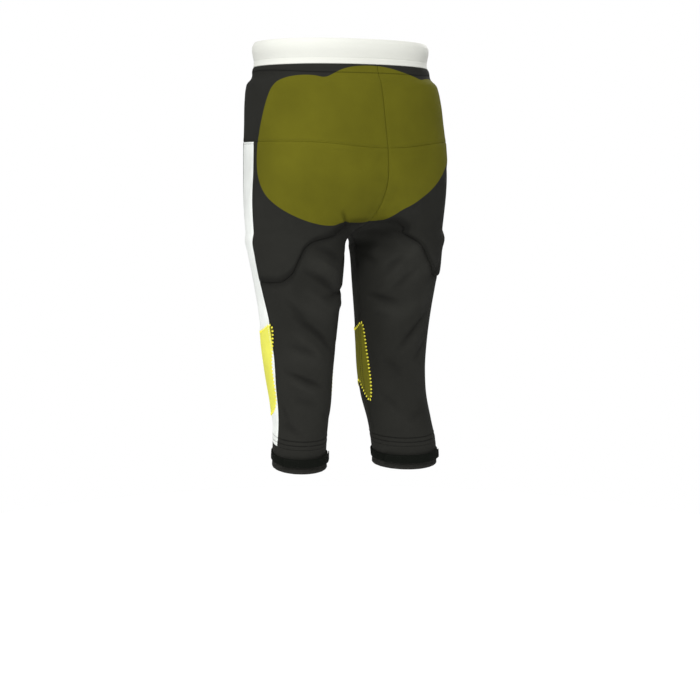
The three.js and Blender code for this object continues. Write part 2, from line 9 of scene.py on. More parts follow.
import bmesh
import bpy
import numpy as np
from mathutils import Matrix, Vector


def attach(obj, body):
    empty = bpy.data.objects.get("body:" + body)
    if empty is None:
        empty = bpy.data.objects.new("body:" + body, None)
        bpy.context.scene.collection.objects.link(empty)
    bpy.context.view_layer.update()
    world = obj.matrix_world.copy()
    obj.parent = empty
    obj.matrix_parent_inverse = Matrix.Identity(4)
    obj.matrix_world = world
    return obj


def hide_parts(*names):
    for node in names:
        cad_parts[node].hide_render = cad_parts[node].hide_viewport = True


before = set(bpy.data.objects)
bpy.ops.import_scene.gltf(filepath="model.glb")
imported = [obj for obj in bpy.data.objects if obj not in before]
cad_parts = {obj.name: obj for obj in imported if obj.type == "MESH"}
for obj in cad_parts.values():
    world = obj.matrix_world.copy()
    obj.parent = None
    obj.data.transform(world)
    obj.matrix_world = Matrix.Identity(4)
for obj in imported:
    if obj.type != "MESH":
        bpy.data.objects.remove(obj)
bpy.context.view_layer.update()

bl_info = {
    "name": "Padded tights",
    "version": (1, 0, 0),
    "blender": (4, 5, 0),
    "location": "3D View > Sidebar > Tights",
    "description": "Sewn panels, foam pads, straps and stitching of a pair of padded tights",
    "category": "Object",
}

MM = 0.001
TURN = 2 * math.pi
BODY = "root"
SIDES = ("left", "right")

# Lengths down the garment
RISE = 297.0
INSEAM = 379.0
BAND_HEIGHT = 40.0
HIP_SEAM = 157.0
HIP_SEAM_DIP = 10.0
HIP_SEAM_SPREAD = 0.16
SEAT_SEAM_ABOVE = 18.0
SEAT_SEAM_BELOW = 75.0
CUFF_HEIGHT = 38.0
CUFF_DIP = 4.0
STRAP_HEIGHT = 12.5
STRAP_ABOVE_HEM = 11.0
TAB_OVERHANG = 0.6
HEM_DROP = {"left": -4.5, "right": 4.5}
HEM = RISE + INSEAM

# Widths and depths of the body that it holds
WAIST_WIDTH = 289.0
WAIST_FRONT = 104.0
WAIST_BACK = 112.0
HIP_WIDTH = 341.0
HIP_FRONT = 116.0
HIP_BACK = 131.0
SEAT_SHIFT = 15.0
THIGH_RADIUS = 83.0
CUFF_RADIUS = 50.0
LEG_GAP = 45.0
CALF_BACK = 45.0
CUFF_GIRTH = 330.0
STRIPE_WIDTH = 50.0

# Walls and clearances
CLOTH = 1.5
BAND_WALL = 2.4
STRAP_WALL = 1.6
TAB_WALL = 1.4
PAD_BASE = 4.0
PAD_BLOCK = 4.0
KNEE_PAD_WALL = 8.0
SEAM_GAP = 0.4
SEWN_GAP = 0.1
STRAP_GAP = 0.5
TAB_GAP = 0.7
POCKET_GAP = 1.1

# How far the outer faces of a strap and of its tab stand off the garment
STRAP_FACE = STRAP_GAP + STRAP_WALL
TAB_FACE = STRAP_FACE + TAB_GAP + TAB_WALL

# Sewing: rolled edges, stitch lines beside the seams, and the tapes inside them
EDGE_ROLL = 1.5
RIM_ROLL = 1.8
SEAT_ROLL = 9.0
ALLOWANCE = 0.25
STITCH_INSET = 3.0
STITCH_LIFT = 0.35
LINE_END = 4.0
CASING_SEAM = 48.0
CASING_DROP = 5.0
HEM_ROWS = (6.5, 13.5)
BAND_GROOVES = (9.0, 4.5)
THREAD_HEIGHT = 0.45
KNEE_STITCH = (3.0, 4.9, 1.4)
TAPE_WIDTH = 7.0
TAPE_WALL = 0.5
TAPE_GAP = 0.2
TAPE_END = 5.0
TAPE_ROWS = 90
GUSSET_RISE = 10.0

# Cut length and width of each kind of cloth panel, which set how fine its mesh is
PANEL_CLOTH = {
    "yoke": (131.0, 440.0),
    "seat": (175.0, 230.0),
    "leg_back": (345.0, 230.0),
    "front": (478.0, 205.0),
    "stripe": (478.0, STRIPE_WIDTH),
}

# Distances from an edge at which a mesh has extra rows
RIM = (0.0, 0.8, 1.8, 3.2)
PAD_RIM = (0.0, 1.0, 2.2, 4.0)
KNEE_PAD_RIM = (0.0, 1.0, 2.4, 4.4)

# Camera, floor and light, in metres, degrees and watts
CAMERA_AZIMUTH = 150.0
CAMERA_REACH = 2.3
CAMERA_HEIGHT = -0.195
CAMERA_PITCH = 7.381
CAMERA_YAW = 0.3645
CAMERA_LENS = 72.75
FLOOR = -1.02
FLOOR_RADIUS = 1.3
FLOOR_GLOW = 0.5
ROOM_LIGHT = 0.44
LAMP_TARGET = (0.0, 0.0, -0.3)

# Lamps: name, place, size, power
LAMPS = (
    ("key_light", (1.5, 2.4, 2.0), 0.6, 92.0),
    ("side_light", (2.8, -0.6, 0.6), 1.2, 17.0),
    ("front_light", (-2.1, -2.0, 1.2), 1.4, 62.0),
)

# Where the trunk starts to fork, as a share of the rise, and how square its sections are
FORK_START = 0.673
TRUNK_ROUND = 0.92

# Sections of the trunk: down, wide, front, back, shift
TRUNK = np.array([
    (0.000, 0.00, 0.00, 0.00, 0.00),
    (0.040, -0.04, -0.08, -0.05, 0.00),
    (0.121, -0.06, -0.08, -0.05, 0.00),
    (0.155, 0.10, 0.00, 0.00, 0.07),
    (0.189, 0.15, 0.12, 0.13, 0.14),
    (0.202, 0.24, 0.20, 0.20, 0.17),
    (0.219, 0.46, 0.31, 0.30, 0.21),
    (0.253, 0.60, 0.48, 0.41, 0.28),
    (0.303, 0.69, 0.67, 0.53, 0.40),
    (0.438, 0.81, 0.92, 0.79, 0.60),
    (0.572, 0.92, 1.00, 1.00, 0.80),
    (0.707, 0.98, 0.83, 1.00, 0.93),
    (0.842, 1.02, 0.25, 0.74, 1.00),
    (1.000, 1.02, -0.50, 0.21, 1.00),
])

# Sections of each leg: down, inner, back, deep, wide, turn
LEG = {
    "left": np.array([
        (0.000, 0.00, 0.356, 1.03, 1.05, 0),
        (0.035, 0.27, 0.360, 0.96, 0.89, 0),
        (0.087, 0.32, 0.367, 0.88, 0.80, 0),
        (0.219, 0.42, 0.378, 0.67, 0.59, 0),
        (0.351, 0.54, 0.378, 0.47, 0.38, 0),
        (0.483, 0.65, 0.378, 0.30, 0.26, 0),
        (0.615, 0.79, 0.422, 0.18, 0.08, 0),
        (0.720, 0.88, 0.511, 0.12, -0.05, 10),
        (0.826, 0.98, 0.511, 0.09, -0.18, 20),
        (0.931, 1.00, 0.489, 0.12, -0.20, 28),
        (1.037, 0.98, 0.511, 0.12, -0.18, 30),
    ]),
    "right": np.array([
        (0.000, 0.00, 0.356, 1.03, 1.05, 0),
        (0.035, 0.32, 0.367, 0.96, 0.90, 0),
        (0.087, 0.39, 0.378, 0.88, 0.78, 0),
        (0.219, 0.47, 0.389, 0.65, 0.58, 0),
        (0.351, 0.57, 0.356, 0.47, 0.39, 0),
        (0.483, 0.64, 0.311, 0.32, 0.27, 0),
        (0.615, 0.70, 0.333, 0.24, 0.17, 0),
        (0.720, 0.76, 0.467, 0.17, 0.12, 0),
        (0.826, 0.84, 0.756, 0.03, 0.11, 0),
        (0.931, 0.87, 0.956, -0.03, 0.16, 0),
        (1.037, 0.91, 1.000, -0.03, 0.13, 0),
    ]),
}

# How much deeper and wider a leg's section grows for each millimetre above the crotch
FLARE_DEEP = 0.144
FLARE_WIDE = 0.041

# Back edge of the side stripe: share of the way from the hip seam to the hem, turn
STRIPE_BACK = np.array([
    (0.00, 0.520), (0.11, 0.517), (0.25, 0.514), (0.35, 0.507), (0.46, 0.518),
    (0.55, 0.537), (0.62, 0.552), (0.76, 0.543), (0.92, 0.531), (1.00, 0.528),
])

# Curved seam under the seat: share of the way from the stripe to the centre back, drop
SEAT_SEAM = {
    "left": np.array([
        (0, 1), (0.15, 1), (0.22, 0.98), (0.27, 0.91), (0.31, 0.81), (0.345, 0.64), (0.38, 0.46),
        (0.42, 0.34), (0.48, 0.28), (0.55, 0.22), (0.64, 0.12), (0.75, 0.04), (1, 0),
    ]),
    "right": np.array([
        (0, 1), (0.2, 1), (0.32, 0.97), (0.41, 0.77), (0.5, 0.46), (0.56, 0.31), (0.62, 0.17),
        (0.7, 0.07), (0.79, 0.01), (0.9, 0), (1, 0),
    ]),
}

# Drag folds that the source has too: turn and share of the length at each end, height, width
FOLD_WIDTH = 13.0
FOLDS = {
    "left": [
        (0.67, 0.50, 0.87, 0.56, 1.0, 1.0),
        (0.61, 0.58, 0.86, 0.65, 0.9, 1.0),
        (0.60, 0.71, 0.84, 0.75, 0.7, 0.8),
    ],
    "right": [
        (0.92, 0.53, 0.72, 0.47, 0.9, 1.0),
        (0.90, 0.58, 0.66, 0.50, 1.0, 1.0),
        (0.86, 0.66, 0.62, 0.57, 0.8, 0.9),
    ],
}

# Small creases and dents: turn and depth at each end, height in millimetres, width in millimetres
CREASES = {
    "left": [
        (0.715, 313, 0.860, 342, -2.2, 5.6), (0.700, 331, 0.850, 364, 1.8, 5.6),
        (0.682, 348, 0.845, 394, -3.2, 5.6), (0.670, 376, 0.820, 420, 1.6, 6.4),
        (0.740, 400, 0.990, 384, -2.6, 4.8), (0.780, 418, 0.980, 406, 1.4, 6.4),
        (0.642, 420, 0.850, 484, -3.0, 4.8), (0.640, 446, 0.790, 494, 1.5, 5.6),
        (0.620, 468, 0.760, 488, -1.5, 5.6), (0.605, 512, 0.805, 541, -3.0, 3.6),
        (0.610, 524, 0.770, 552, 1.5, 4.8), (0.640, 556, 0.760, 564, -1.2, 5.6),
        (0.560, 592, 0.700, 616, -1.6, 5.6), (0.760, 580, 0.930, 596, -1.3, 5.6),
        (0.560, 560, 0.620, 600, -1.2, 4.8), (0.868, 290, 0.858, 258, -1.8, 2.8),
        (0.080, 318, 0.260, 336, 1.8, 7.2), (0.100, 352, 0.300, 366, -1.6, 6.4),
        (0.120, 398, 0.320, 412, 1.4, 7.2), (0.300, 610, 0.450, 600, -1.2, 5.6),
        (0.940, 320, 0.860, 352, -2.0, 4.8), (0.900, 470, 0.980, 505, -1.8, 4.8),
        (0.930, 540, 0.990, 575, -1.3, 4.8), (0.620, 398, 0.700, 432, -1.6, 5.6),
    ],
    "right": [
        (0.873, 359, 0.787, 326, -2.6, 4.8), (0.885, 378, 0.800, 344, 1.6, 5.6),
        (0.853, 393, 0.742, 350, -2.8, 4.8), (0.838, 346, 0.728, 305, 1.8, 5.6),
        (0.960, 398, 0.800, 412, -2.8, 4.8), (0.940, 420, 0.800, 428, 1.6, 6.4),
        (0.820, 492, 0.660, 424, -2.6, 4.4), (0.800, 500, 0.680, 452, 1.3, 5.6),
        (0.735, 512, 0.640, 470, -1.8, 4.8), (0.880, 500, 0.780, 530, -1.3, 6.4),
        (0.680, 590, 0.800, 604, -1.3, 6.4), (0.900, 560, 0.800, 590, -1.2, 6.4),
        (0.080, 322, 0.260, 338, 1.8, 7.2), (0.120, 356, 0.300, 366, -1.6, 6.4),
        (0.140, 402, 0.320, 410, 1.4, 7.2), (0.300, 596, 0.450, 604, -1.2, 5.6),
        (0.960, 292, 0.780, 306, -2.6, 11), (0.940, 318, 0.830, 322, -1.6, 9),
        (0.970, 330, 0.900, 350, -1.6, 5.6), (0.700, 380, 0.620, 340, -1.6, 5.6),
    ],
}

# Short tucks in the seat where the seams meet, with the same columns
TUCKS = {
    "left": [
        (0.868, 288, 0.860, 258, -1.0, 3.0), (0.960, 196, 0.985, 168, -0.5, 3.5),
        (0.800, 160, 0.905, 168, 0.5, 4.0),
    ],
    "right": [(0.985, 270, 0.960, 200, -0.5, 4.0), (0.880, 262, 0.845, 250, -0.8, 3.0)],
}

# Faint waves of stretched cloth: height, wavelengths round and down, shift
WAVES = ((1.0, 31.0, 57.0, 1.7), (0.8, 47.0, -29.0, 1.0), (0.6, 17.0, 23.0, 2.9), (0.4, 11.0, -41.0, 0.6))
WAVE_HEIGHT = 0.22
WAVE_SEED = {"left": 1.0, "right": 2.3}

# Outline of the sheer window over the seat pads, as turns from the centre back and depths
WINDOW = np.array([
    (0.182, 62), (0.157, 56), (0.127, 49), (0.088, 44), (0.042, 42), (0.002, 42), (-0.040, 44.5),
    (-0.093, 50), (-0.152, 56), (-0.182, 61), (-0.218, 58), (-0.260, 57), (-0.300, 58),
    (-0.340, 61), (-0.375, 70), (-0.397, 84), (-0.420, 106), (-0.440, 128), (-0.452, 148),
    (-0.448, 162), (-0.430, 172), (-0.400, 179), (-0.360, 184), (-0.320, 189), (-0.275, 195),
    (-0.228, 211), (-0.193, 227), (-0.155, 241), (-0.117, 252), (-0.083, 258), (-0.065, 267),
    (-0.045, 273), (-0.017, 277), (0.035, 279), (0.103, 278), (0.145, 277), (0.167, 279),
    (0.195, 283), (0.237, 283), (0.275, 279), (0.310, 273), (0.348, 263), (0.380, 252),
    (0.410, 239), (0.432, 224), (0.450, 206), (0.455, 189), (0.453, 167), (0.440, 137),
    (0.420, 111), (0.397, 86), (0.375, 71), (0.340, 61), (0.300, 58), (0.260, 57), (0.218, 58),
])
WINDOW_TURN = 432.0

# Outline of the window over each knee pad, as turns and depths
KNEE_WINDOW = np.array([
    (0.550, 440), (0.556, 450), (0.554, 465), (0.550, 479), (0.538, 496), (0.534, 512),
    (0.536, 528), (0.537, 552), (0.534, 563), (0.508, 578), (0.448, 587), (0.360, 590),
    (0.280, 586), (0.200, 576), (0.130, 562), (0.080, 549), (0.038, 543), (0.018, 553),
    (-0.004, 564), (-0.024, 573), (-0.036, 575), (-0.050, 566), (-0.057, 550), (-0.058, 537),
    (-0.056, 526), (-0.050, 507), (-0.044, 496), (-0.038, 478), (-0.032, 466), (-0.026, 454),
    (-0.016, 445), (0.010, 452), (0.036, 458), (0.072, 463), (0.130, 460), (0.200, 454),
    (0.280, 451), (0.360, 452), (0.430, 457), (0.476, 452), (0.508, 446), (0.530, 441),
])
KNEE_WINDOW_TURN = 375.0

# Edges of the seat pads: along rows are at, inner, outer; across rows are at, top, bottom
PAD_TOP = 50.0
PAD_BOTTOM = 279.0
PADS = {
    "hip_pad_left": (
        np.array([(0.0, 0.176, 0.350), (0.2, 0.170, 0.420), (0.5, 0.158, 0.444),
                  (0.8, 0.140, 0.430), (1.0, 0.128, 0.350)]),
        np.array([(0.0, 0.085, 0.960), (0.2, 0.060, 1.000), (0.5, 0.052, 0.965),
                  (0.8, 0.085, 0.900), (1.0, 0.180, 0.800)]),
    ),
    "tail_pad": (
        np.array([(0.0, -0.155, 0.155), (0.2, -0.160, 0.160), (0.5, -0.147, 0.147),
                  (0.8, -0.127, 0.127), (1.0, -0.085, 0.085)]),
        np.array([(0.0, 0.075, 0.890), (0.2, 0.010, 0.925), (0.5, -0.010, 0.945),
                  (0.8, 0.010, 0.925), (1.0, 0.075, 0.890)]),
    ),
    "hip_pad_right": (
        np.array([(0.0, -0.176, -0.350), (0.2, -0.170, -0.420), (0.5, -0.158, -0.444),
                  (0.8, -0.140, -0.420), (1.0, -0.128, -0.350)]),
        np.array([(0.0, 0.085, 0.895), (0.2, 0.060, 0.880), (0.5, 0.052, 0.790),
                  (0.8, 0.085, 0.700), (1.0, 0.180, 0.620)]),
    ),
}
PAD_WIDTH = {"hip_pad_left": 118.0, "tail_pad": 128.0, "hip_pad_right": 118.0}
PAD_HEIGHT = 210.0
BLOCK_COLUMNS = 4
BLOCK_ROWS = 4
CROWN_SHARE = 0.13
CHANNEL = 0.03
PAD_BEVEL = 0.035

# Knee pads. The table's rows are share of the height, share of the reach
KNEE_TOP = 140.0
KNEE_HEIGHT = 141.0
KNEE_WIDTH = 190.0
KNEE_SWELL = 0.8
KNEE_MIDDLE_SHARE = 0.255
KNEE_REACH_SHARE = 0.29
KNEE = np.array([(0.00, 0.50), (0.12, 0.86), (0.30, 0.99), (0.60, 0.97), (0.85, 0.80), (1.00, 0.42)])
KNEE_CHANNELS = (0.22, 0.50, 0.78)
KNEE_BOW = 10.0

# Ends of a strap's tab, as turns
TAB_START_SHARE = 0.593
TAB_STOP_SHARE = 0.936

# A distance to a window or a stitched row for cloth that is far from all of them
NOWHERE = -99.0
CLOTH_FIELDS = {"seat_window": NOWHERE, "knee_window": NOWHERE, "painted_shading": 0.0, "row": NOWHERE}

GRID = 3.4


def linear(text):
    """A hex colour as the linear red, green and blue that Blender uses."""
    values = [int(text[i:i + 2], 16) / 255 for i in (0, 2, 4)]
    return tuple(v / 12.92 if v <= 0.04045 else ((v + 0.055) / 1.055) ** 2.4 for v in values)


def length_prop(name, description, default):
    """A size in millimetres that a user would change."""
    return bpy.props.FloatProperty(name=name, description=description, default=default, min=0)


def colour_prop(name, description, default):
    """A finish colour that a user would change."""
    return bpy.props.FloatVectorProperty(
        name=name, description=description, default=linear(default), subtype="COLOR", size=3, min=0, max=1)


class TightsSizes(bpy.types.PropertyGroup):
    """Sizes of the sewn detail, in millimetres."""
    fold_height: length_prop("Fold height", "Height of the long drag folds, mm", 3.0)
    crease_share: bpy.props.FloatProperty(
        name="Creases", description="Strength of the small creases", default=1.5, min=0, subtype="FACTOR")
    seam_dip: length_prop("Seam dip", "How far a cloth edge rolls in at a seam, mm", 0.28)
    seat_edge: length_prop("Seat edge", "How far the seat panel swells above its lower edge, mm", 3.4)
    pad_swell: length_prop("Pad swell", "How far the cloth stands out over the seat pads, mm", 1.6)
    band_bulge: length_prop("Band bulge", "How far the waistband rounds out above its middle, mm", 2.6)
    band_groove: length_prop("Band groove", "Depth of the waistband's two grooves, mm", 0.3)
    stitch_pitch: length_prop("Stitch pitch", "Distance from one stitch to the next, mm", 3.3)
    stitch_length: length_prop("Stitch length", "Length of a stitch, mm", 2.5)
    stitch_width: length_prop("Stitch width", "Width of a stitch, mm", 0.75)
    knee_pitch: length_prop("Knee stitch pitch", "Distance between the bold knee stitches, mm", 5.9)


class TightsColours(bpy.types.PropertyGroup):
    """Colours of the finishes."""
    cloth: colour_prop("Cloth", "Main cloth", "2A2A27")
    stripe: colour_prop("Stripe", "Side stripe", "F3F6F2")
    band: colour_prop("Waistband", "Elastic waistband", "E6E7DF")
    strap: colour_prop("Strap", "Hook-and-loop straps", "121411")
    window: colour_prop("Window", "Sheer cloth over the seat pads", "646118")
    knee: colour_prop("Knee window", "Sheer cloth over the knee pads", "726F22")
    knee_stripe: colour_prop("Knee window on the stripe", "Sheer white cloth over the knee pads", "F0EE66")
    foam: colour_prop("Foam", "Moulded pads", "EDE53C")
    bold_thread: colour_prop("Bold thread", "Knee outline thread", "F6EC4C")


def sizes():
    """The sizes that the scene holds."""
    return bpy.context.scene.tights_sizes


def colours():
    """The colours that the scene holds."""
    return bpy.context.scene.tights_colours


def mix(a, b, share):
    """The value that lies a share of the way from a to b."""
    return a + (b - a) * share


def ease(x, low, high):
    """0 below low, 1 above high, and a smooth rise between."""
    t = np.clip((x - low) / (high - low), 0, 1)
    return t * t * (3 - 2 * t)


def quarter_round(share):
    """Height of a rounded shoulder, 0 at a share of 0 and 1 from a share of 1 on."""
    return np.sqrt(np.clip(1 - (1 - np.clip(share, 0, 1)) ** 2, 0, 1))


def read(rows, column, at):
    """Reads one column of a table on a smooth curve through its rows."""
    place, value = rows[:, 0], rows[:, column]
    x = np.clip(at, place[0], place[-1])
    step = np.diff(place)
    slope = np.diff(value) / step
    tangent = np.empty(len(place))
    tangent[0], tangent[-1] = slope[0], slope[-1]
    tangent[1:-1] = (slope[:-1] * step[1:] + slope[1:] * step[:-1]) / (step[:-1] + step[1:])
    i = np.clip(np.searchsorted(place, x, side="right") - 1, 0, len(step) - 1)
    h = step[i]
    t = (x - place[i]) / h
    t2, t3 = t * t, t * t * t
    return (value[i] * (2 * t3 - 3 * t2 + 1) + value[i + 1] * (3 * t2 - 2 * t3)
            + tangent[i] * h * (t3 - 2 * t2 + t) + tangent[i + 1] * h * (t3 - t2))


def trunk_place(turn, down):
    """x and y of one side of the trunk."""
    at = np.minimum(down, RISE) / RISE
    half = mix(WAIST_WIDTH, HIP_WIDTH, read(TRUNK, 1, at)) / 2
    front = mix(WAIST_FRONT, HIP_FRONT, read(TRUNK, 2, at))
    back = mix(WAIST_BACK, HIP_BACK, read(TRUNK, 3, at))
    shift = SEAT_SHIFT * read(TRUNK, 4, at)
    sine, cosine = np.sin(np.pi * turn), np.cos(np.pi * turn)
    reach = np.where(cosine > 0, -front, back)
    x = half * np.sign(sine) * np.abs(sine) ** TRUNK_ROUND
    return x, shift + reach * np.abs(cosine) ** TRUNK_ROUND


def leg_place(side, turn, down):
    """x and y of a leg: an ellipse that may be turned, whose inner side is at the inseam."""
    rows = LEG[side]
    at = np.maximum(down - RISE, 0) / INSEAM
    above = np.maximum(RISE - down, 0)
    deep = mix(CUFF_RADIUS, THIGH_RADIUS, read(rows, 3, at)) + FLARE_DEEP * above
    wide = mix(CUFF_RADIUS, THIGH_RADIUS, read(rows, 4, at)) + FLARE_WIDE * above
    tilt = np.radians(read(rows, 5, at))

    def radius(x, y):
        along = x * np.sin(tilt) + y * np.cos(tilt)
        across = x * np.cos(tilt) - y * np.sin(tilt)
        return 1 / np.hypot(along / deep, across / wide)

    x, y = -np.cos(TURN * turn), -np.sin(TURN * turn)
    reach = radius(x, y)
    centre = LEG_GAP * read(rows, 1, at) + radius(-1.0, 0.0)
    return centre + reach * x, CALF_BACK * read(rows, 2, at) + reach * y


def surface(side, turn, down):
    """Places on the outer face of the cloth, without folds."""
    turn, down = np.broadcast_arrays(np.asarray(turn, float), np.asarray(down, float))
    t = np.clip((down / RISE - FORK_START) / (1 - FORK_START), 0, 1)
    crotch = 1 - np.sqrt(1 - t * t)
    smooth = t * t * (3 - 2 * t)
    leg = mix(crotch, smooth, np.sin(np.pi * turn) ** 2)
    ax, ay = trunk_place(turn, down)
    bx, by = leg_place(side, turn, down)
    x = mix(ax, bx, leg) + SEAM_GAP / 2
    return np.stack([x if side == "left" else -x, mix(ay, by, leg), -down], -1)


def cloth_per_turn(side, turn, down):
    """Millimetres of cloth for one whole turn, at places."""
    step = 0.002
    run = surface(side, turn + step, down) - surface(side, turn - step, down)
    return np.linalg.norm(run, axis=-1) / (2 * step)


def outward(side, turn, down):
    """Outward directions. On the trunk's centre lines they have no sideways part."""
    step = 0.004
    turn, down = np.broadcast_arrays(np.asarray(turn, float), np.asarray(down, float))
    here = np.where(down < RISE, np.clip(turn, step, 1 - step), turn)
    around = surface(side, here + step, down) - surface(side, here - step, down)
    downward = surface(side, here, down + 1) - surface(side, here, down - 1)
    normal = np.cross(downward, around) if side == "left" else np.cross(around, downward)
    centre = (down < RISE) & ((turn < step) | (turn > 1 - step))
    normal[..., 0] = np.where(centre, 0, normal[..., 0])
    return normal / np.linalg.norm(normal, axis=-1, keepdims=True)


def place(side, turn, down, lift):
    """Places lifted off the garment surface, in millimetres."""
    lift = np.broadcast_to(lift, np.broadcast(turn, down).shape)
    return surface(side, turn, down) + outward(side, turn, down) * lift[..., None]


def hem_down(side, turn):
    """Depth of a hem."""
    return HEM + HEM_DROP[side] - CUFF_DIP * np.sin(TURN * turn)


def cuff_top(side, turn):
    """Depth of the seam above a cuff."""
    return hem_down(side, turn) - CUFF_HEIGHT


def stripe_back(down):
    """Turn of the stripe's back edge."""
    return read(STRIPE_BACK, 1, (down - HIP_SEAM) / (HEM - HIP_SEAM))


def stripe_front(side, down):
    """Turn of the stripe's front edge."""
    back = stripe_back(down)
    return back - STRIPE_WIDTH / cloth_per_turn(side, back, down)


def hip_seam(turn):
    """Depth of the hip seam."""
    return HIP_SEAM + HIP_SEAM_DIP * np.exp(-(((1 - turn) / HIP_SEAM_SPREAD) ** 2))


def seat_seam(side, across):
    """Depth of the curved seam under the seat."""
    return RISE + mix(-SEAT_SEAM_ABOVE, SEAT_SEAM_BELOW, read(SEAT_SEAM[side], 1, across))


def casing_seam(turn):
    """Depth of the stitched casing seam under the waistband."""
    return CASING_SEAM + CASING_DROP * ease(turn, 0.5, 0.85)


def outline_distance(outline, per_turn, turn, down):
    """Millimetres from places to an outline, positive inside it."""
    x, y = np.broadcast_arrays(turn * per_turn, down)
    near = np.full(x.shape, 1e9)
    inside = np.zeros(x.shape, bool)
    px, py = outline[:, 0] * per_turn, outline[:, 1]
    for i in range(len(outline)):
        ax, ay, bx, by = px[i - 1], py[i - 1], px[i], py[i]
        along = (x - ax) * (bx - ax) + (y - ay) * (by - ay)
        t = np.clip(along / ((bx - ax) ** 2 + (by - ay) ** 2), 0, 1)
        near = np.minimum(near, np.hypot(x - mix(ax, bx, t), y - mix(ay, by, t)))
        crosses = (ay > y) != (by > y)
        level = np.where(by == ay, 1.0, by - ay)
        inside ^= crosses & (x < ax + (y - ay) * (bx - ax) / level)
    return np.where(inside, near, -near)


def smooth_outline(outline, rounds=2):
    """The outline with each corner cut, so that it runs in curves."""
    for _ in range(rounds):
        after = np.roll(outline, -1, axis=0)
        outline = np.stack([mix(outline, after, 0.25), mix(outline, after, 0.75)], 1).reshape(-1, 2)
    return outline


SEAT_WINDOW = smooth_outline(WINDOW)
KNEE_OUTLINE = smooth_outline(KNEE_WINDOW)


def seat_window(side, turn, down):
    """Signed distance to the seat window."""
    from_back = (1 - turn) * (1 if side == "left" else -1)
    return outline_distance(SEAT_WINDOW, WINDOW_TURN, from_back, down)


def knee_window(turn, down):
    """Signed distance to a knee window, which reaches over the inseam."""
    here = outline_distance(KNEE_OUTLINE, KNEE_WINDOW_TURN, turn, down)
    return np.maximum(here, outline_distance(KNEE_OUTLINE, KNEE_WINDOW_TURN, turn - 1, down))


def ridges(rows, turn, down, per_turn):
    """Soft ridges and dents between two places each."""
    height = np.zeros(np.broadcast(turn, down).shape)
    for turn0, down0, turn1, down1, high, wide in rows:
        run = np.array([(turn1 - turn0) * per_turn, down1 - down0])
        x, y = (turn - turn0) * per_turn, down - down0
        along = (x * run[0] + y * run[1]) / (run @ run)
        across = (x * run[1] - y * run[0]) / math.hypot(*run) / wide
        taper = np.sin(np.pi * np.clip(along, 0, 1))
        height = height + high * taper * np.exp(-across * across)
    return height


def ripple(side, turn, down):
    """Faint waves of stretched cloth, the same on every run."""
    across = turn * 400.0
    waves = sum(high * np.sin(across / wide + down / tall + shift * WAVE_SEED[side])
                for high, wide, tall, shift in WAVES)
    calm_above = 1 - 0.6 * ease(-down, -110.0, -60.0)
    ends = ease(down, 46.0, 62.0) * ease(-down, -(HEM - CUFF_HEIGHT - 4), -(HEM - 80))
    return WAVE_HEIGHT * waves * calm_above * ends


def fold_relief(side, turn, down):
    """Height of the long folds and the small creases."""
    s = sizes()
    per_turn = TURN * mix(CUFF_RADIUS, THIGH_RADIUS, 0.5)
    folds = [(a, b * HEM, c, d * HEM, high * s.fold_height, wide * FOLD_WIDTH)
             for a, b, c, d, high, wide in FOLDS[side]]
    return ridges(folds, turn, down, per_turn) + s.crease_share * ridges(CREASES[side], turn, down, per_turn)


def relief(side, turn, down):
    """Height of the worn cloth over the plain garment surface: folds, creases, waves and pads."""
    s = sizes()
    height = fold_relief(side, turn, down) + ripple(side, turn, down)
    over_seat = ease(seat_window(side, turn, down), -11.0, 3.0) * ease(down, PAD_TOP, 74.0)
    over_knee = ease(knee_window(turn, down), -8.0, 3.0)
    return height + s.pad_swell * over_seat + KNEE_SWELL * over_knee


def tuck_relief(side, turn, down):
    """Height of the short tucks in the seat."""
    return ridges(TUCKS[side], turn, down, WINDOW_TURN)


def spaced(length, rim):
    """Shares along a length, at the grid's spacing, with extra ones close to both ends."""
    count = max(2, int(round((length - 2 * rim[-1]) / GRID)))
    middle = np.linspace(rim[-1], length - rim[-1], count + 1)
    edge = np.array(rim[:-1])
    return np.concatenate([edge, middle, length - edge[::-1]]) / length


def solid(name, points, faces, fields=None, uv=None):
    """A smooth mesh object from points in millimetres. Fields are numbers kept at its points."""
    mesh = bpy.data.meshes.new(name)
    mesh.from_pydata((np.asarray(points) * MM).tolist(), [], faces)
    mesh.validate()
    mesh.shade_smooth()
    for key, values in (fields or {}).items():
        mesh.attributes.new(key, "FLOAT", "POINT").data.foreach_set("value", np.asarray(values, np.float32))
    if uv is not None:
        corner = np.empty(len(mesh.loops), np.int32)
        mesh.loops.foreach_get("vertex_index", corner)
        flat = np.ascontiguousarray(np.asarray(uv)[corner] * MM, np.float32).ravel()
        mesh.uv_layers.new(name="cloth").data.foreach_set("uv", flat)
    piece = bpy.data.objects.new(name, mesh)
    bpy.context.scene.collection.objects.link(piece)
    return piece


def settle(piece, finish, slot, *nodes):
    """Gives a piece its material and its place in the frame."""
    piece.data.materials.clear()
    piece.data.materials.append(finish)
    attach(piece, BODY)
    if nodes:
        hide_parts(*nodes)
    return piece


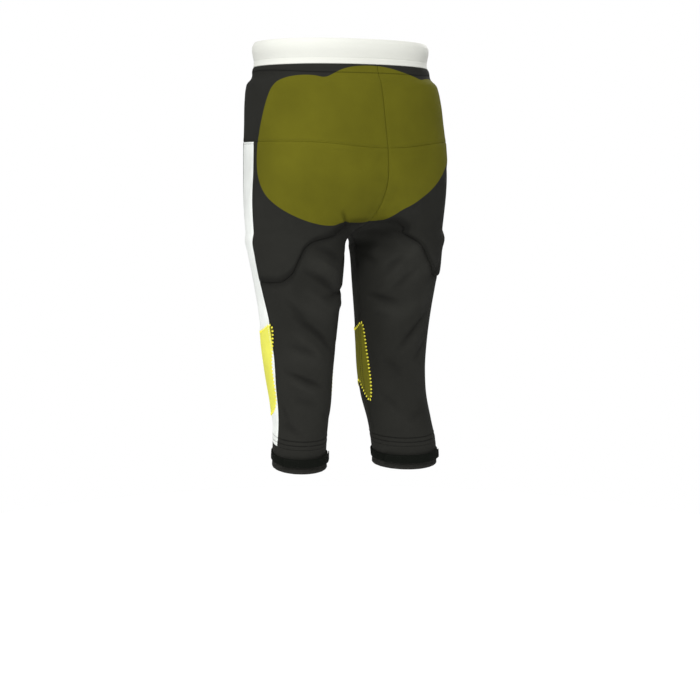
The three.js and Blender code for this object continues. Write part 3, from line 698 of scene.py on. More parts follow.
def shell_faces(height, width):
    """Faces of a closed shell, whose points are its outer grid, its rim's middle and its inner grid."""
    outer = np.arange(height * width).reshape(height, width)
    rim = np.concatenate([outer[0, :-1], outer[:-1, -1], outer[-1, :0:-1], outer[:0:-1, 0]])
    middle = height * width + np.arange(len(rim))
    inner = outer + height * width + len(rim)
    a, b, c, d = outer[:-1, :-1], outer[1:, :-1], outer[1:, 1:], outer[:-1, 1:]
    front = np.stack([a, b, c, d], -1).reshape(-1, 4)
    a, b, c, d = inner[:-1, :-1], inner[1:, :-1], inner[1:, 1:], inner[:-1, 1:]
    back = np.stack([a, d, c, b], -1).reshape(-1, 4)
    after, inner_rim = np.roll(rim, -1), rim + height * width + len(rim)
    high = np.stack([rim, after, np.roll(middle, -1), middle], -1)
    low = np.stack([middle, np.roll(middle, -1), np.roll(inner_rim, -1), inner_rim], -1)
    return np.concatenate([front, back, high, low]), rim


def closed_grid(outer, inner):
    """Points and faces of a closed shell between two grids of places, and the points of its rim."""
    faces, rim = shell_faces(*outer.shape[:2])
    outer, inner = outer.reshape(-1, 3), inner.reshape(-1, 3)
    return np.concatenate([outer, (outer[rim] + inner[rim]) / 2, inner]), faces, rim


def shell(name, side, turn, down, lift, wall, fields):
    """A closed thin piece over a grid of places. lift is its outer face and wall its thickness."""
    outer = place(side, turn, down, lift)
    points, faces, rim = closed_grid(outer, place(side, turn, down, lift - wall))
    if side == "right":
        faces = faces[:, ::-1]
    height, width = turn.shape
    run = np.linalg.norm(np.diff(outer, axis=1), axis=-1)
    across = np.concatenate([np.zeros((height, 1)), np.cumsum(run, 1)], 1)
    across = across - across[:, width // 2:width // 2 + 1]

    def all_round(flat):
        return np.concatenate([flat, flat[rim], flat])

    kept = {key: all_round(values.reshape(-1)) for key, values in fields.items()}
    cloth = np.stack([across, down], -1).reshape(-1, 2)
    return solid(name, points, faces.tolist(), kept, all_round(cloth))


def hem_row(turn, down, from_bottom):
    """Distance up from a panel's lower seam."""
    return from_bottom


def casing_row(turn, down, from_bottom):
    """Distance that is the first of HEM_ROWS along the waistband's casing seam."""
    return np.minimum(HEM_ROWS[0] + casing_seam(turn) - down, np.mean(HEM_ROWS))


def no_row(turn, down, from_bottom):
    """Distance of a panel that has no stitched grooves."""
    return np.full_like(down, NOWHERE)


def front_to_back(down):
    """Side edges of a panel from the centre front, or the inseam, to the centre back."""
    return np.zeros_like(down), np.ones_like(down)


def stripe_to_back(down):
    """Side edges of a panel from the stripe to the centre back."""
    return stripe_back(down), np.ones_like(down)


def seam_share(across):
    """Share of the seat seam's swell and of its painted shade at its two ends and between them."""
    return 0.15 + 0.85 * ease(across, 0.0, 0.05) * (1 - ease(across, 0.90, 1.0))


def not_proud(from_bottom, across):
    """Extra height of a panel that has none."""
    return np.zeros_like(from_bottom)


def seam_edge(edge, dip):
    """Height beside a seam: the edge rolls in, and the allowance behind it lifts the cloth."""
    allowance = ALLOWANCE * ease(edge, 0.5, 3.0) * (1 - ease(edge, 6.5, 9.5))
    return allowance - dip * (1 - quarter_round(edge / EDGE_ROLL))


def cloth_panel(kind, side, down_at, turns_at, proud_at=not_proud, shade=(0, 0), rows=hem_row):
    """A sewn cloth panel. down_at(across, along) is its depth and turns_at(down) its side edges.

    proud_at(from_bottom, across) is extra height, shade says how deep a band of painted shade darkens the
    cloth beside its top and bottom seam, and rows gives a distance that is one of HEM_ROWS on a stitched
    groove.
    """
    length, width = PANEL_CLOTH[kind]
    s, t = np.broadcast_arrays(spaced(width, RIM)[None, :], spaced(length, RIM)[:, None])
    gap = SEWN_GAP / 2
    down = down_at(s, t)
    top, bottom = down[:1], down[-1:]
    first, last = turns_at(down)
    turn = mix(first, last, s)
    per_turn = cloth_per_turn(side, turn, down)
    from_first, from_last = (turn - first) * per_turn, (last - turn) * per_turn
    from_top, from_bottom = down - top, bottom - down
    turn = turn + np.where(s == 0, gap, 0) / per_turn - np.where(s == 1, gap, 0) / per_turn
    down = down + np.where(t == 0, gap, 0) - np.where(t == 1, gap, 0)
    seat, knee = seat_window(side, turn, down), knee_window(turn, down)
    dip = sizes().seam_dip * (1 - 0.5 * ease(seat, -3.0, 3.0))
    tucks = tuck_relief(side, turn, down)
    lift = relief(side, turn, down) + tucks
    # Painted shade in the creases and tucks and painted highlight on their crests, from the fold heights.
    painted_shading = fold_relief(side, turn, down) + 1.5 * tucks + 2.0 * ripple(side, turn, down)
    # Painted shade: a dark band along the top and bottom seams, where a proud panel edge would shade the
    # cloth.
    for depth, edge in zip(shade, (from_top, from_bottom)):
        painted_shading = painted_shading - depth * np.exp(-(edge / SEAT_ROLL) ** 4) * seam_share(s)
    for edge in (from_first, from_last, from_top, from_bottom):
        lift = lift + seam_edge(edge, dip)
    proud = proud_at(from_bottom, s)
    row = rows(turn, down, from_bottom)
    fields = {"seat_window": seat, "knee_window": knee, "painted_shading": painted_shading, "row": row}
    return shell(f"{kind}_cloth_{side}", side, turn, down, lift + proud, CLOTH + proud, fields)


def face_round(piece):
    """Turns a closed piece's faces outwards."""
    work = bmesh.new()
    work.from_mesh(piece.data)
    bmesh.ops.recalc_face_normals(work, faces=work.faces)
    work.to_mesh(piece.data)
    work.free()
    return piece


class Signal:
    """A number that varies over a surface. Arithmetic on it adds Math nodes."""

    def __init__(self, finish, socket):
        self.finish = finish
        self.socket = socket

    def math(self, operation, *values):
        """A Math node on this number."""
        sockets = dict(enumerate((self, *values)))
        return self.finish.node("ShaderNodeMath", {"operation": operation}, sockets)

    def __add__(self, other):
        return self.math("ADD", other)

    def __radd__(self, other):
        return self.math("ADD", other)

    def __sub__(self, other):
        return self.math("SUBTRACT", other)

    def __rsub__(self, other):
        return (self * -1.0) + other

    def __mul__(self, other):
        return self.math("MULTIPLY", other)

    def __rmul__(self, other):
        return self.math("MULTIPLY", other)

    def __truediv__(self, other):
        return self.math("DIVIDE", other)

    def __abs__(self):
        return self.math("ABSOLUTE")

    def sine(self):
        return self.math("SINE")

    def fraction(self):
        return self.math("FRACT")

    def rise(self, low, high):
        """0 below low, 1 above high, and smooth between."""
        settings = {"interpolation_type": "SMOOTHSTEP"}
        sockets = {"Value": self, "From Min": low, "From Max": high}
        return self.finish.node("ShaderNodeMapRange", settings, sockets)


class Finish:
    """One procedural material, built node by node."""

    def __init__(self, name):
        self.material = bpy.data.materials.new(name)
        self.material.use_nodes = True
        self.tree = self.material.node_tree
        self.tree.nodes.clear()

    def node(self, kind, settings=None, sockets=None, output=0):
        """Adds a node, makes its settings, fills its sockets and returns one output."""
        made = self.tree.nodes.new(kind)
        for key, value in (settings or {}).items():
            setattr(made, key, value)
        for key, value in (sockets or {}).items():
            if isinstance(value, Signal):
                self.tree.links.new(value.socket, made.inputs[key])
            else:
                made.inputs[key].default_value = value
        return Signal(self, made.outputs[output]) if made.outputs else made

    def place(self):
        """Object coordinates."""
        return self.node("ShaderNodeTexCoord", output="Object")

    def cloth_axes(self):
        """Millimetres across and along the cloth."""
        uv = self.node("ShaderNodeUVMap", {"uv_map": "cloth"})
        return self.axis(uv, 0) / MM, self.axis(uv, 1) / MM

    def axis(self, vector, index):
        """One number of a vector, in metres."""
        return self.node("ShaderNodeSeparateXYZ", None, {"Vector": vector}, index)

    def field(self, name):
        """A number kept at the mesh's points."""
        return self.node("ShaderNodeAttribute", {"attribute_name": name}, output="Fac")

    def noise(self, scale, detail=2.0, rough=0.5):
        """Noise from 0 to 1, at features per metre."""
        return self.node("ShaderNodeTexNoise", None, {
            "Vector": self.place(), "Scale": scale, "Detail": detail, "Roughness": rough})

    def blend(self, share, first, second):
        """One colour over another."""
        def rgba(colour):
            return colour if isinstance(colour, Signal) else (*colour, 1.0)
        sockets = {0: share, 6: rgba(first), 7: rgba(second)}
        return self.node("ShaderNodeMix", {"data_type": "RGBA"}, sockets, 2)

    def tint(self, colour, share):
        """A colour made lighter or darker by a number round 1."""
        return self.node("ShaderNodeVectorMath", {"operation": "SCALE"}, {0: colour, "Scale": share})

    def done(self, colour, roughness, height=None, depth=0.0001, **numbers):
        """Joins everything to the shader. depth is the bump's height in metres."""
        sockets = {"Base Color": colour, "Roughness": roughness}
        if height is not None:
            sockets["Normal"] = self.node(
                "ShaderNodeBump", None, {"Strength": 1.0, "Distance": depth, "Height": height})
        for key, value in numbers.items():
            sockets[key.replace("_", " ").title().replace("Ior", "IOR")] = value
        shader = self.node("ShaderNodeBsdfPrincipled", None, sockets)
        self.node("ShaderNodeOutputMaterial", None, {"Surface": shader})
        return self.material


def knit(finish, wale=0.9, course=0.75):
    """Height of knitted loops, 0 to 1: slanted loops in columns along the cloth."""
    across, along = finish.cloth_axes()
    column = (across / wale).fraction()
    slant = abs(column - 0.5)
    rib = (column * math.pi).sine()
    loop = abs(((along / course + slant * 0.9) * math.pi).sine())
    return rib * 0.55 + rib * loop * 0.45


def jersey(name, cloth, seat, knee):
    """Knitted stretch cloth with sheer windows over the pads, painted shade along the stitched grooves, and
    painted shade and highlight over its folds and beside the seat seams.
    """
    f = Finish(name)
    loops = knit(f)
    mottle = f.noise(34.0, 3.0)
    fibre = f.noise(1900.0, 1.0)
    in_seat = f.field("seat_window")
    in_knee = f.field("knee_window")
    colour = f.blend(in_seat.rise(-0.3, 0.3), cloth, seat)
    colour = f.blend(in_knee.rise(-0.3, 0.3), colour, knee)
    shade = 0.86 + loops * 0.13 + (mottle - 0.5) * 0.22 + (fibre - 0.5) * 0.16
    # Painted shade in a fold's hollow and beside the seat seams, and painted highlight on a fold's crest.
    shade = shade * (0.58 + f.field("painted_shading").rise(-7.5, 7.5) * 0.84)
    row = f.field("row")
    # Painted shade: the cloth is darker along the two stitched grooves.
    groove = 1.0 - abs(row - HEM_ROWS[0]).rise(0.2, 1.3) * abs(row - HEM_ROWS[1]).rise(0.2, 1.3)
    height = loops * 0.8 + fibre * 0.35 - groove * 2.0
    return f.done(f.tint(colour, shade * (1.0 - groove * 0.5)), 0.78 + fibre * 0.14, height, 0.00016,
                  sheen_weight=0.0, specular_ior_level=0.05)


def elastic(name, colour):
    """Woven elastic: fine rows of thread, one above the other."""
    f = Finish(name)
    fibre = f.noise(900.0, 2.0, 0.6)
    row = abs((f.axis(f.place(), 2) * (math.pi / (0.78 * MM))).sine())
    cloud = f.noise(22.0, 2.0)
    shade = 0.93 + row * 0.05 + (fibre - 0.5) * 0.07 + (cloud - 0.5) * 0.03
    return f.done(f.tint(colour, shade), 0.62 + fibre * 0.16, row * 0.4 + fibre * 0.6, 0.00009,
                  sheen_weight=0.1, specular_ior_level=0.2)


def hook_tape(name, colour):
    """Loop pile of a hook-and-loop strap, fuzzy and dark."""
    f = Finish(name)
    pile = f.noise(1500.0, 4.0, 0.75)
    tuft = f.noise(420.0, 2.0, 0.6)
    shade = 0.5 + pile * 0.6 + tuft * 0.4
    return f.done(f.tint(colour, shade), 0.95, pile * 0.7 + tuft * 0.5, 0.0005,
                  specular_ior_level=0.04)


def foam(name, colour):
    """Moulded closed-cell foam with a soft satin skin."""
    f = Finish(name)
    grain = f.noise(1100.0, 3.0, 0.6)
    cloud = f.noise(30.0, 2.0)
    shade = 0.94 + (cloud - 0.5) * 0.10 + (grain - 0.5) * 0.08
    return f.done(f.tint(colour, shade), 0.40 + grain * 0.14, grain, 0.00006,
                  subsurface_weight=0.08, specular_ior_level=0.45)


def thread(name, colour, in_window=None):
    """Twisted sewing thread, dyed to match where it crosses the seat window."""
    f = Finish(name)
    ply = f.noise(2600.0, 2.0, 0.6)
    if in_window:
        colour = f.blend(f.field("seat_window").rise(-0.3, 0.3), colour, in_window)
    return f.done(f.tint(colour, 0.84 + ply * 0.32), 0.55 + ply * 0.2, ply, 0.00008,
                  specular_ior_level=0.1)


def material(name):
    """The finish of that name, made the first time that it is asked for."""
    if name in bpy.data.materials:
        return bpy.data.materials[name]
    c = colours()

    def darker(colour, share):
        return tuple(value * share for value in colour)

    finishes = {
        "black_jersey": (jersey, c.cloth, c.window, c.knee),
        "white_jersey": (jersey, c.stripe, c.window, c.knee_stripe),
        "band_elastic": (elastic, c.band),
        "strap_pile": (hook_tape, c.strap),
        "seam_tape": (hook_tape, c.cloth),
        "pad_foam": (foam, c.foam),
        "black_thread": (thread, darker(c.cloth, 0.45), c.window),
        "white_thread": (thread, darker(c.stripe, 0.93)),
        "bold_thread": (thread, c.bold_thread),
    }
    make, *shades = finishes[name]
    return make(name, *(tuple(shade) for shade in shades))


def yoke(side):
    """Cloth from the waistband to the hip seam, from centre front to centre back."""
    piece = cloth_panel(
        "yoke", side,
        lambda s, t: mix(BAND_HEIGHT + SEWN_GAP, hip_seam(s), t), front_to_back, rows=casing_row)
    settle(piece, material("black_jersey"), "black_cloth", f"yoke_{side}")


def seat_proud(from_bottom, across):
    """How far the seat panel swells above its lower edge, where it rolls under."""
    faded = 1 - ease(from_bottom, SEAT_ROLL, 5.5 * SEAT_ROLL)
    rolled = quarter_round(from_bottom / SEAT_ROLL)
    return sizes().seat_edge * (0.12 + 0.88 * rolled * faded) * seam_share(across)


def seat_panel(side):
    """Cloth over the pads, from the hip seam to the curved seam under the seat."""
    # Painted shade darkens the cloth above its lower seam.
    piece = cloth_panel(
        "seat", side,
        lambda s, t: mix(hip_seam(mix(stripe_back(HIP_SEAM), 1, s)), seat_seam(side, s), t),
        stripe_to_back, seat_proud, shade=(0, 6.0), rows=no_row)
    settle(piece, material("black_jersey"), "black_cloth", f"seat_panel_{side}")


def leg_back(side):
    """Back of a leg, from the curved seam to the cuff."""
    # Painted shade darkens the cloth just below the curved seam.
    piece = cloth_panel(
        "leg_back", side,
        lambda s, t: mix(seat_seam(side, s), cuff_top(side, mix(stripe_back(HEM), 1, s)), t),
        stripe_to_back, shade=(2.5, 0))
    settle(piece, material("black_jersey"), "black_cloth", f"leg_back_{side}")


def front_panel(side):
    """Front of the trunk and of a leg."""
    high, low = stripe_front(side, np.array(HIP_SEAM)), stripe_front(side, np.array(HEM))
    piece = cloth_panel(
        "front", side,
        lambda s, t: mix(hip_seam(s * high), cuff_top(side, s * low), t),
        lambda down: (np.zeros_like(down), stripe_front(side, down)))
    settle(piece, material("black_jersey"), "black_cloth", f"front_panel_{side}")


def side_stripe(side):
    """White stripe down the outer side."""
    front, back = stripe_front(side, np.array(HEM)), stripe_back(np.array(HEM))

    def down_at(s, t):
        turn = mix(front, back, s)
        return mix(hip_seam(turn), cuff_top(side, turn), t)

    piece = cloth_panel(
        "stripe", side, down_at,
        lambda down: (stripe_front(side, down), stripe_back(down)))
    settle(piece, material("white_jersey"), "white_cloth", f"side_stripe_{side}")


def waist_wave(side, turn):
    """The waistband's slight waves round the waist."""
    sign = 1 if side == "left" else -1
    return 0.5 * np.sin(turn * 17.0 + sign) + 0.35 * np.sin(turn * 29.0 - 2.0 * sign)


def waistband():
    """Wide elastic band that rounds out, with a rolled top edge."""
    s = sizes()
    high = BAND_HEIGHT - RIM_ROLL
    grooves = (BAND_GROOVES[0], high - BAND_GROOVES[1])

    def grooved(height):
        return -s.band_groove * sum(math.exp(-((height - at) / 0.9) ** 2) for at in grooves)

    height, lift = rounded_profile(SEWN_GAP, high, 0.0, BAND_WALL, 4, 58, grooved).T
    bulge = np.sin(np.pi * np.clip(height / high, 0, 1) ** 1.5) - 0.9 * ease(height, high - 6, high)
    lift = lift + s.band_bulge * bulge
    turns = np.linspace(0, 1, 210)[:, None]
    halves = []
    for side, turn in (("left", turns), ("right", 1 - turns)):
        wave = waist_wave(side, turn) * (1 - np.cos(TURN * turn)) / 2
        halves.append(place(side, turn, BAND_HEIGHT - height[None, :], lift + wave))
    piece = face_round(swept("waistband_elastic", np.concatenate(halves)))
    settle(piece, material("band_elastic"), "waist_elastic", "waistband")


def leg_sweep(name, side, profile, extra, columns, turns=None):
    """A profile of heights above the hem and lifts, carried round a leg."""
    height, lift = profile.T
    closed = turns is None
    turn = (np.arange(columns) / columns if closed else np.linspace(*turns, columns))[:, None]
    height, lift = height[None, :], lift[None, :]
    down = hem_down(side, turn) - height
    grid = place(side, turn, down, lift + extra(turn, height) + relief(side, turn, down))
    return face_round(swept(name, grid, closed, run_uv(grid, height)))


def run_uv(grid, height):
    """Cloth coordinates of a swept grid: round the leg and up it."""
    step = np.linalg.norm(np.diff(grid[:, :1], axis=0), axis=-1)
    run = np.concatenate([[0.0], np.cumsum(step)])
    return np.stack(np.broadcast_arrays(run[:, None], height), -1).reshape(-1, 2)


def hem_cuff(side):
    """Turned hem, drawn in under the strap."""
    middle = STRAP_ABOVE_HEM + STRAP_HEIGHT / 2
    profile = rounded_profile(0.0, CUFF_HEIGHT - SEWN_GAP, 0.0, CLOTH, 3, 30, lambda height: 0.0)

    def gathered(turn, height):
        pleats = np.sin(TURN * turn * 19) + 0.7 * np.sin(TURN * turn * 31 + 1.0)
        pinch = np.exp(-((height - middle) / 9.0) ** 2)
        flare = 1 - ease(height, 0.0, 9.0)
        return 0.16 * pleats * (1 - ease(height, 12.0, 32.0)) - 0.35 * pinch + 0.5 * flare

    piece = leg_sweep(f"cuff_cloth_{side}", side, profile, gathered, 150)
    for key, value in CLOTH_FIELDS.items():
        same = np.full(len(piece.data.vertices), value, np.float32)
        piece.data.attributes.new(key, "FLOAT", "POINT").data.foreach_set("value", same)
    settle(piece, material("black_jersey"), "black_cloth", f"hem_cuff_{side}")


def calf_strap(side):
    """Narrow strap round a hem."""
    low, high = STRAP_ABOVE_HEM, STRAP_ABOVE_HEM + STRAP_HEIGHT
    profile = rounded_profile(
        low, high, STRAP_FACE, STRAP_WALL, 3, 8, lambda height: 0.12 * math.sin(height * 1.9))

    def wavy(turn, height):
        return 0.18 * np.sin(TURN * turn * 7 + height * 0.2)

    piece = leg_sweep(f"strap_tape_{side}", side, profile, wavy, 130)
    settle(piece, material("strap_pile"), "strap_tape", f"calf_strap_{side}")


def strap_tab(side):
    """The strap's overlapping end, a little wider than the strap."""
    low = STRAP_ABOVE_HEM - TAB_OVERHANG
    high = low + STRAP_HEIGHT + 2 * TAB_OVERHANG
    profile = rounded_profile(low, high, TAB_FACE, TAB_WALL, 3, 8, lambda height: 0.0)
    turns = (TAB_START_SHARE, TAB_STOP_SHARE)

    def curled(turn, height):
        from_end = np.minimum(turn - turns[0], turns[1] - turn) * CUFF_GIRTH
        return 0.45 * np.exp(-(from_end / 4.0) ** 2) + 0.15 * np.sin(TURN * turn * 8 + height * 0.25)

    piece = leg_sweep(f"tab_tape_{side}", side, profile, curled, 52, turns)
    settle(piece, material("strap_pile"), "strap_tape", f"strap_tab_{side}")


def slab(name, *parts):
    """Closed slabs in one piece, each between an outer and an inner grid of places."""
    points, faces, first = [], [], 0
    for outer, inner in parts:
        more, corners, _ = closed_grid(outer, inner)
        points.append(more)
        faces += (corners + first).tolist()
        first += len(more)
    return face_round(solid(name, np.concatenate(points), faces))


def rise_from(distance, foot, top):
    """A rounded shoulder with a soft foot: 0 at foot, 1 from top on."""
    t = (distance - foot) / (top - foot)
    return quarter_round(t) * ease(t, 0.0, 0.25)


def moulded_pad(name):
    """Foam pad with a smooth crown, a sloped rim and rows of raised blocks."""
    along, across = PADS[name]
    wide, tall = PAD_WIDTH[name], PAD_HEIGHT
    s, t = np.broadcast_arrays(spaced(wide, PAD_RIM)[None, :], spaced(tall, PAD_RIM)[:, None])
    from_centre = mix(read(along, 1, t), read(along, 2, t), s)
    share = mix(read(across, 1, s), read(across, 2, s), t)
    down = mix(PAD_TOP, PAD_BOTTOM, share)
    x, y = s * wide, t * tall
    columns = [wide * i / BLOCK_COLUMNS for i in range(1, BLOCK_COLUMNS)]
    rows = [tall * mix(CROWN_SHARE, 1, i / BLOCK_ROWS) for i in range(BLOCK_ROWS)]
    from_column = np.min([np.abs(x - c) for c in columns], axis=0)
    from_row = np.min([np.abs(y - r) for r in rows], axis=0)
    from_rim = np.minimum(np.minimum(x, wide - x), np.minimum(y, tall - y))
    in_crown = 1 - ease(y, rows[0] - 3.0, rows[0] - 1.0)
    from_column = np.where(in_crown > 0.5, wide, from_column)
    shoulder = CHANNEL * wide
    block = rise_from(from_column, 1.0, shoulder + 1.6) * rise_from(from_row, 1.2, shoulder + 2.0)
    block = block * rise_from(from_rim, 0.8, PAD_BEVEL * wide + 3.0)
    dome = 1.0 - 0.12 * ((s - 0.5) ** 2 + (t - 0.5) ** 2) * 2
    height = PAD_BLOCK * block * dome - 0.8 * (1 - rise_from(from_rim, -0.6, 1.6))
    base = -CLOTH - POCKET_GAP - PAD_BLOCK
    # The tail pad crosses the centre back, so each half is placed on its own side of the garment.
    outer = centred_places(from_centre, down, base + height)
    inner = centred_places(from_centre, down, base - PAD_BASE)
    piece = slab(f"{name}_foam", (outer, inner))
    settle(piece, material("pad_foam"), "pad_foam", name)


def centred_places(from_centre, down, lift, centre=1.0):
    """Places by their turns from a centre line, 1 the back one and 0 the front one. Left is positive."""
    turn = np.abs(centre - np.abs(from_centre))
    left, right = place("left", turn, down, lift), place("right", turn, down, lift)
    return np.where((from_centre >= 0)[..., None], left, right)


def centre_tape(centre):
    """Grids of the tape inside a centre seam: 1 the back one, 0 the front one."""
    width = np.linspace(-TAPE_WIDTH / 2, TAPE_WIDTH / 2, 6)
    length = np.linspace(BAND_HEIGHT + SEWN_GAP, RISE - LINE_END, TAPE_ROWS)
    across, down = np.broadcast_arrays(width[None, :], length[:, None])
    line = np.full(down.shape, centre)
    from_centre = across / np.maximum(cloth_per_turn("left", line, down), CUFF_RADIUS * math.pi)
    top = relief("left", line, down) - CLOTH - TAPE_GAP
    return tuple(centred_places(from_centre, down, top - wall, centre) for wall in (0.0, TAPE_WALL))


def tape_grids(side, turn, down):
    """Grids of a tape that follows a seam inside the cloth."""
    turn, down = np.broadcast_arrays(turn, down)
    offsets = np.linspace(-TAPE_WIDTH / 2, TAPE_WIDTH / 2, 5)
    turns, downs = np.moveaxis([shifted(side, turn, down, offset) for offset in offsets], 0, -1)
    top = relief(side, turns, downs) - CLOTH - TAPE_GAP
    return tuple(place(side, turns, downs, top - wall) for wall in (0.0, TAPE_WALL))


def gusset_grids():
    """Grids of the gusset that closes the seams under the crotch, from front to back."""
    above = np.linspace(1, 0, 40) ** 2 * GUSSET_RISE
    down = RISE - np.concatenate([above, above[-2::-1]])
    turn = np.concatenate([np.zeros(len(above)), np.ones(len(above) - 1)])
    line = surface("left", turn, down)
    run = np.gradient(line, axis=0)
    inward = np.stack([0 * down, -run[:, 2], run[:, 1]], -1) / np.hypot(run[:, 1], run[:, 2])[:, None]
    across = np.linspace(-1, 1, 6)[None, :] * (line[:, 0] + TAPE_WIDTH / 2)[:, None]

    def grid_at(depth):
        grid = np.repeat((line + inward * depth)[:, None], across.shape[1], axis=1)
        grid[..., 0] = across
        return grid

    # It lies over the centre tapes.
    depth = CLOTH + 2 * TAPE_GAP + TAPE_WALL
    return grid_at(depth), grid_at(depth + TAPE_WALL)


def seam_tapes():
    """Tapes sewn inside the seams, which close them from behind."""
    parts = [centre_tape(0.0), centre_tape(1.0), gusset_grids()]
    hip = np.linspace(0.01, 0.99, TAPE_ROWS)
    cuff = np.linspace(0.0, 1.0, TAPE_ROWS)
    across = np.linspace(0.02, 0.98, TAPE_ROWS)
    for side in SIDES:
        seat = seat_seam(side, across)
        leg = np.linspace(HIP_SEAM + TAPE_END, cuff_top(side, 0.5) - TAPE_END, 120)
        inseam = np.linspace(RISE + 2, cuff_top(side, 0.0) - TAPE_END, TAPE_ROWS)
        for turn, down in (
            (hip, hip_seam(hip)),
            (cuff, cuff_top(side, cuff)),
            (mix(stripe_back(seat), 1.0, across), seat),
            (stripe_back(leg), leg),
            (stripe_front(side, leg), leg),
            (0.0, inseam),
        ):
            parts.append(tape_grids(side, turn, down))
    settle(slab("seam_tapes", *parts), material("seam_tape"), "black_cloth")


def knee_pad(side):
    """Foam shield round the front of a knee, with flex channels."""
    wide, tall = KNEE_WIDTH, KNEE_HEIGHT
    across, along = spaced(wide, KNEE_PAD_RIM), spaced(tall, KNEE_PAD_RIM)
    s, t = np.broadcast_arrays(across[None, :], along[:, None])
    down = RISE + KNEE_TOP + KNEE_HEIGHT * t
    turn = KNEE_MIDDLE_SHARE + KNEE_REACH_SHARE * read(KNEE, 1, t) * (2 * s - 1)
    from_rim = np.minimum(np.minimum(s, 1 - s) * wide, np.minimum(t, 1 - t) * tall)
    bow = KNEE_BOW * (2 * s - 1) ** 2
    lines = [np.abs(t * tall - tall * share - bow * (0.5 - share)) for share in KNEE_CHANNELS]
    channel = 1 - rise_from(np.min(lines, axis=0), 0.8, 4.6)
    channel = channel * ease(from_rim, 8.0, 14.0)
    height = -1.8 * channel - 2.6 * (1 - rise_from(from_rim, -1.0, 9.0))
    base = -CLOTH - POCKET_GAP
    outer = place(side, turn, down, base + height)
    inner = place(side, turn, down, base - KNEE_PAD_WALL)
    piece = slab(f"knee_pad_foam_{side}", (outer, inner))
    settle(piece, material("pad_foam"), "pad_foam", f"knee_pad_{side}")


def stitch_tree():
    """Geometry Nodes that lay stitches end to end along lines."""
    tree = bpy.data.node_groups.new("stitch_row", "GeometryNodeTree")
    face = tree.interface
    face.new_socket("Geometry", in_out="OUTPUT", socket_type="NodeSocketGeometry")
    face.new_socket("Geometry", in_out="INPUT", socket_type="NodeSocketGeometry")
    for label in ("Pitch", "Length", "Width", "Height"):
        face.new_socket(label, in_out="INPUT", socket_type="NodeSocketFloat")
    face.new_socket("Thread", in_out="INPUT", socket_type="NodeSocketMaterial")

    def node(kind, settings=None, **links):
        made = tree.nodes.new(kind)
        for key, value in (settings or {}).items():
            setattr(made, key, value)
        for key, value in links.items():
            socket = made.inputs[key.replace("_", " ")]
            if isinstance(value, bpy.types.NodeSocket):
                tree.links.new(value, socket)
            else:
                socket.default_value = value
        return made

    given = node("NodeGroupInput").outputs
    line = node("GeometryNodeMeshToCurve", Mesh=given["Geometry"])
    spots = node("GeometryNodeResampleCurve", {"mode": "LENGTH"},
                 Curve=line.outputs[0], Length=given["Pitch"])
    stitch = node("GeometryNodeMeshUVSphere", Segments=6, Rings=4, Radius=0.5)
    soft = node("GeometryNodeSetShadeSmooth", Geometry=stitch.outputs[0])
    out_of_cloth = node("GeometryNodeInputNamedAttribute", {"data_type": "FLOAT_VECTOR"}, Name="outward")
    tangent = node("GeometryNodeInputTangent")
    along = node("FunctionNodeAlignRotationToVector", {"axis": "X"}, Vector=tangent.outputs[0])
    up = node("FunctionNodeAlignRotationToVector", {"axis": "Z", "pivot_axis": "X"},
              Rotation=along.outputs[0], Vector=out_of_cloth.outputs[0])
    size = node("ShaderNodeCombineXYZ", X=given["Length"], Y=given["Width"], Z=given["Height"])
    laid = node("GeometryNodeInstanceOnPoints", Points=spots.outputs[0], Instance=soft.outputs[0],
                Rotation=up.outputs[0], Scale=size.outputs[0])
    real = node("GeometryNodeRealizeInstances", Geometry=laid.outputs[0])
    dyed = node("GeometryNodeSetMaterial", Geometry=real.outputs[0], Material=given["Thread"])
    tree.links.new(dyed.outputs[0], node("NodeGroupOutput").inputs[0])
    return tree


def stitched(name, lines, pitch, length, width, height, thread_name, slot):
    """Lays stitches along lines of (side, turns, downs, lift, closed) and leaves one plain mesh."""
    points, normals, edges, windows = [], [], [], []
    for side, turn, down, lift, closed in lines:
        turn, down = np.broadcast_arrays(turn, down)
        first = len(points)
        spots = place(side, turn, down, relief(side, turn, down) + tuck_relief(side, turn, down) + lift)
        points += (spots * MM).tolist()
        normals += outward(side, turn, down).tolist()
        windows += seat_window(side, turn, down).tolist()
        edges += [(first + i, first + i + 1) for i in range(len(turn) - 1)]
        if closed:
            edges.append((len(points) - 1, first))
    mesh = bpy.data.meshes.new(name)
    mesh.from_pydata(points, edges, [])
    mesh.attributes.new("outward", "FLOAT_VECTOR", "POINT").data.foreach_set("vector", np.ravel(normals))
    mesh.attributes.new("seat_window", "FLOAT", "POINT").data.foreach_set("value", windows)
    line = bpy.data.objects.new(f"{name}_lines", mesh)
    bpy.context.scene.collection.objects.link(line)
    tree = bpy.data.node_groups.get("stitch_row") or stitch_tree()
    sewing = line.modifiers.new("stitch_row", "NODES")
    sewing.node_group = tree
    ids = {s.name: s.identifier for s in tree.interface.items_tree if s.in_out == "INPUT"}
    for label, value in (("Pitch", pitch * MM), ("Length", length * MM), ("Width", width * MM),
                         ("Height", height * MM), ("Thread", material(thread_name))):
        sewing[ids[label]] = value
    graph = bpy.context.evaluated_depsgraph_get()
    sewn = bpy.data.meshes.new_from_object(line.evaluated_get(graph))
    line.modifiers.clear()
    bpy.data.objects.remove(line)
    piece = bpy.data.objects.new(name, sewn)
    bpy.context.scene.collection.objects.link(piece)
    return settle(piece, material(thread_name), slot)


def around(side, start, stop, down_at, lift=STITCH_LIFT, step=0.008):
    """A stitch line at a depth given by turn."""
    turn = np.linspace(start, stop, max(3, int(abs(stop - start) / step)))
    return side, turn, down_at(turn), lift, False


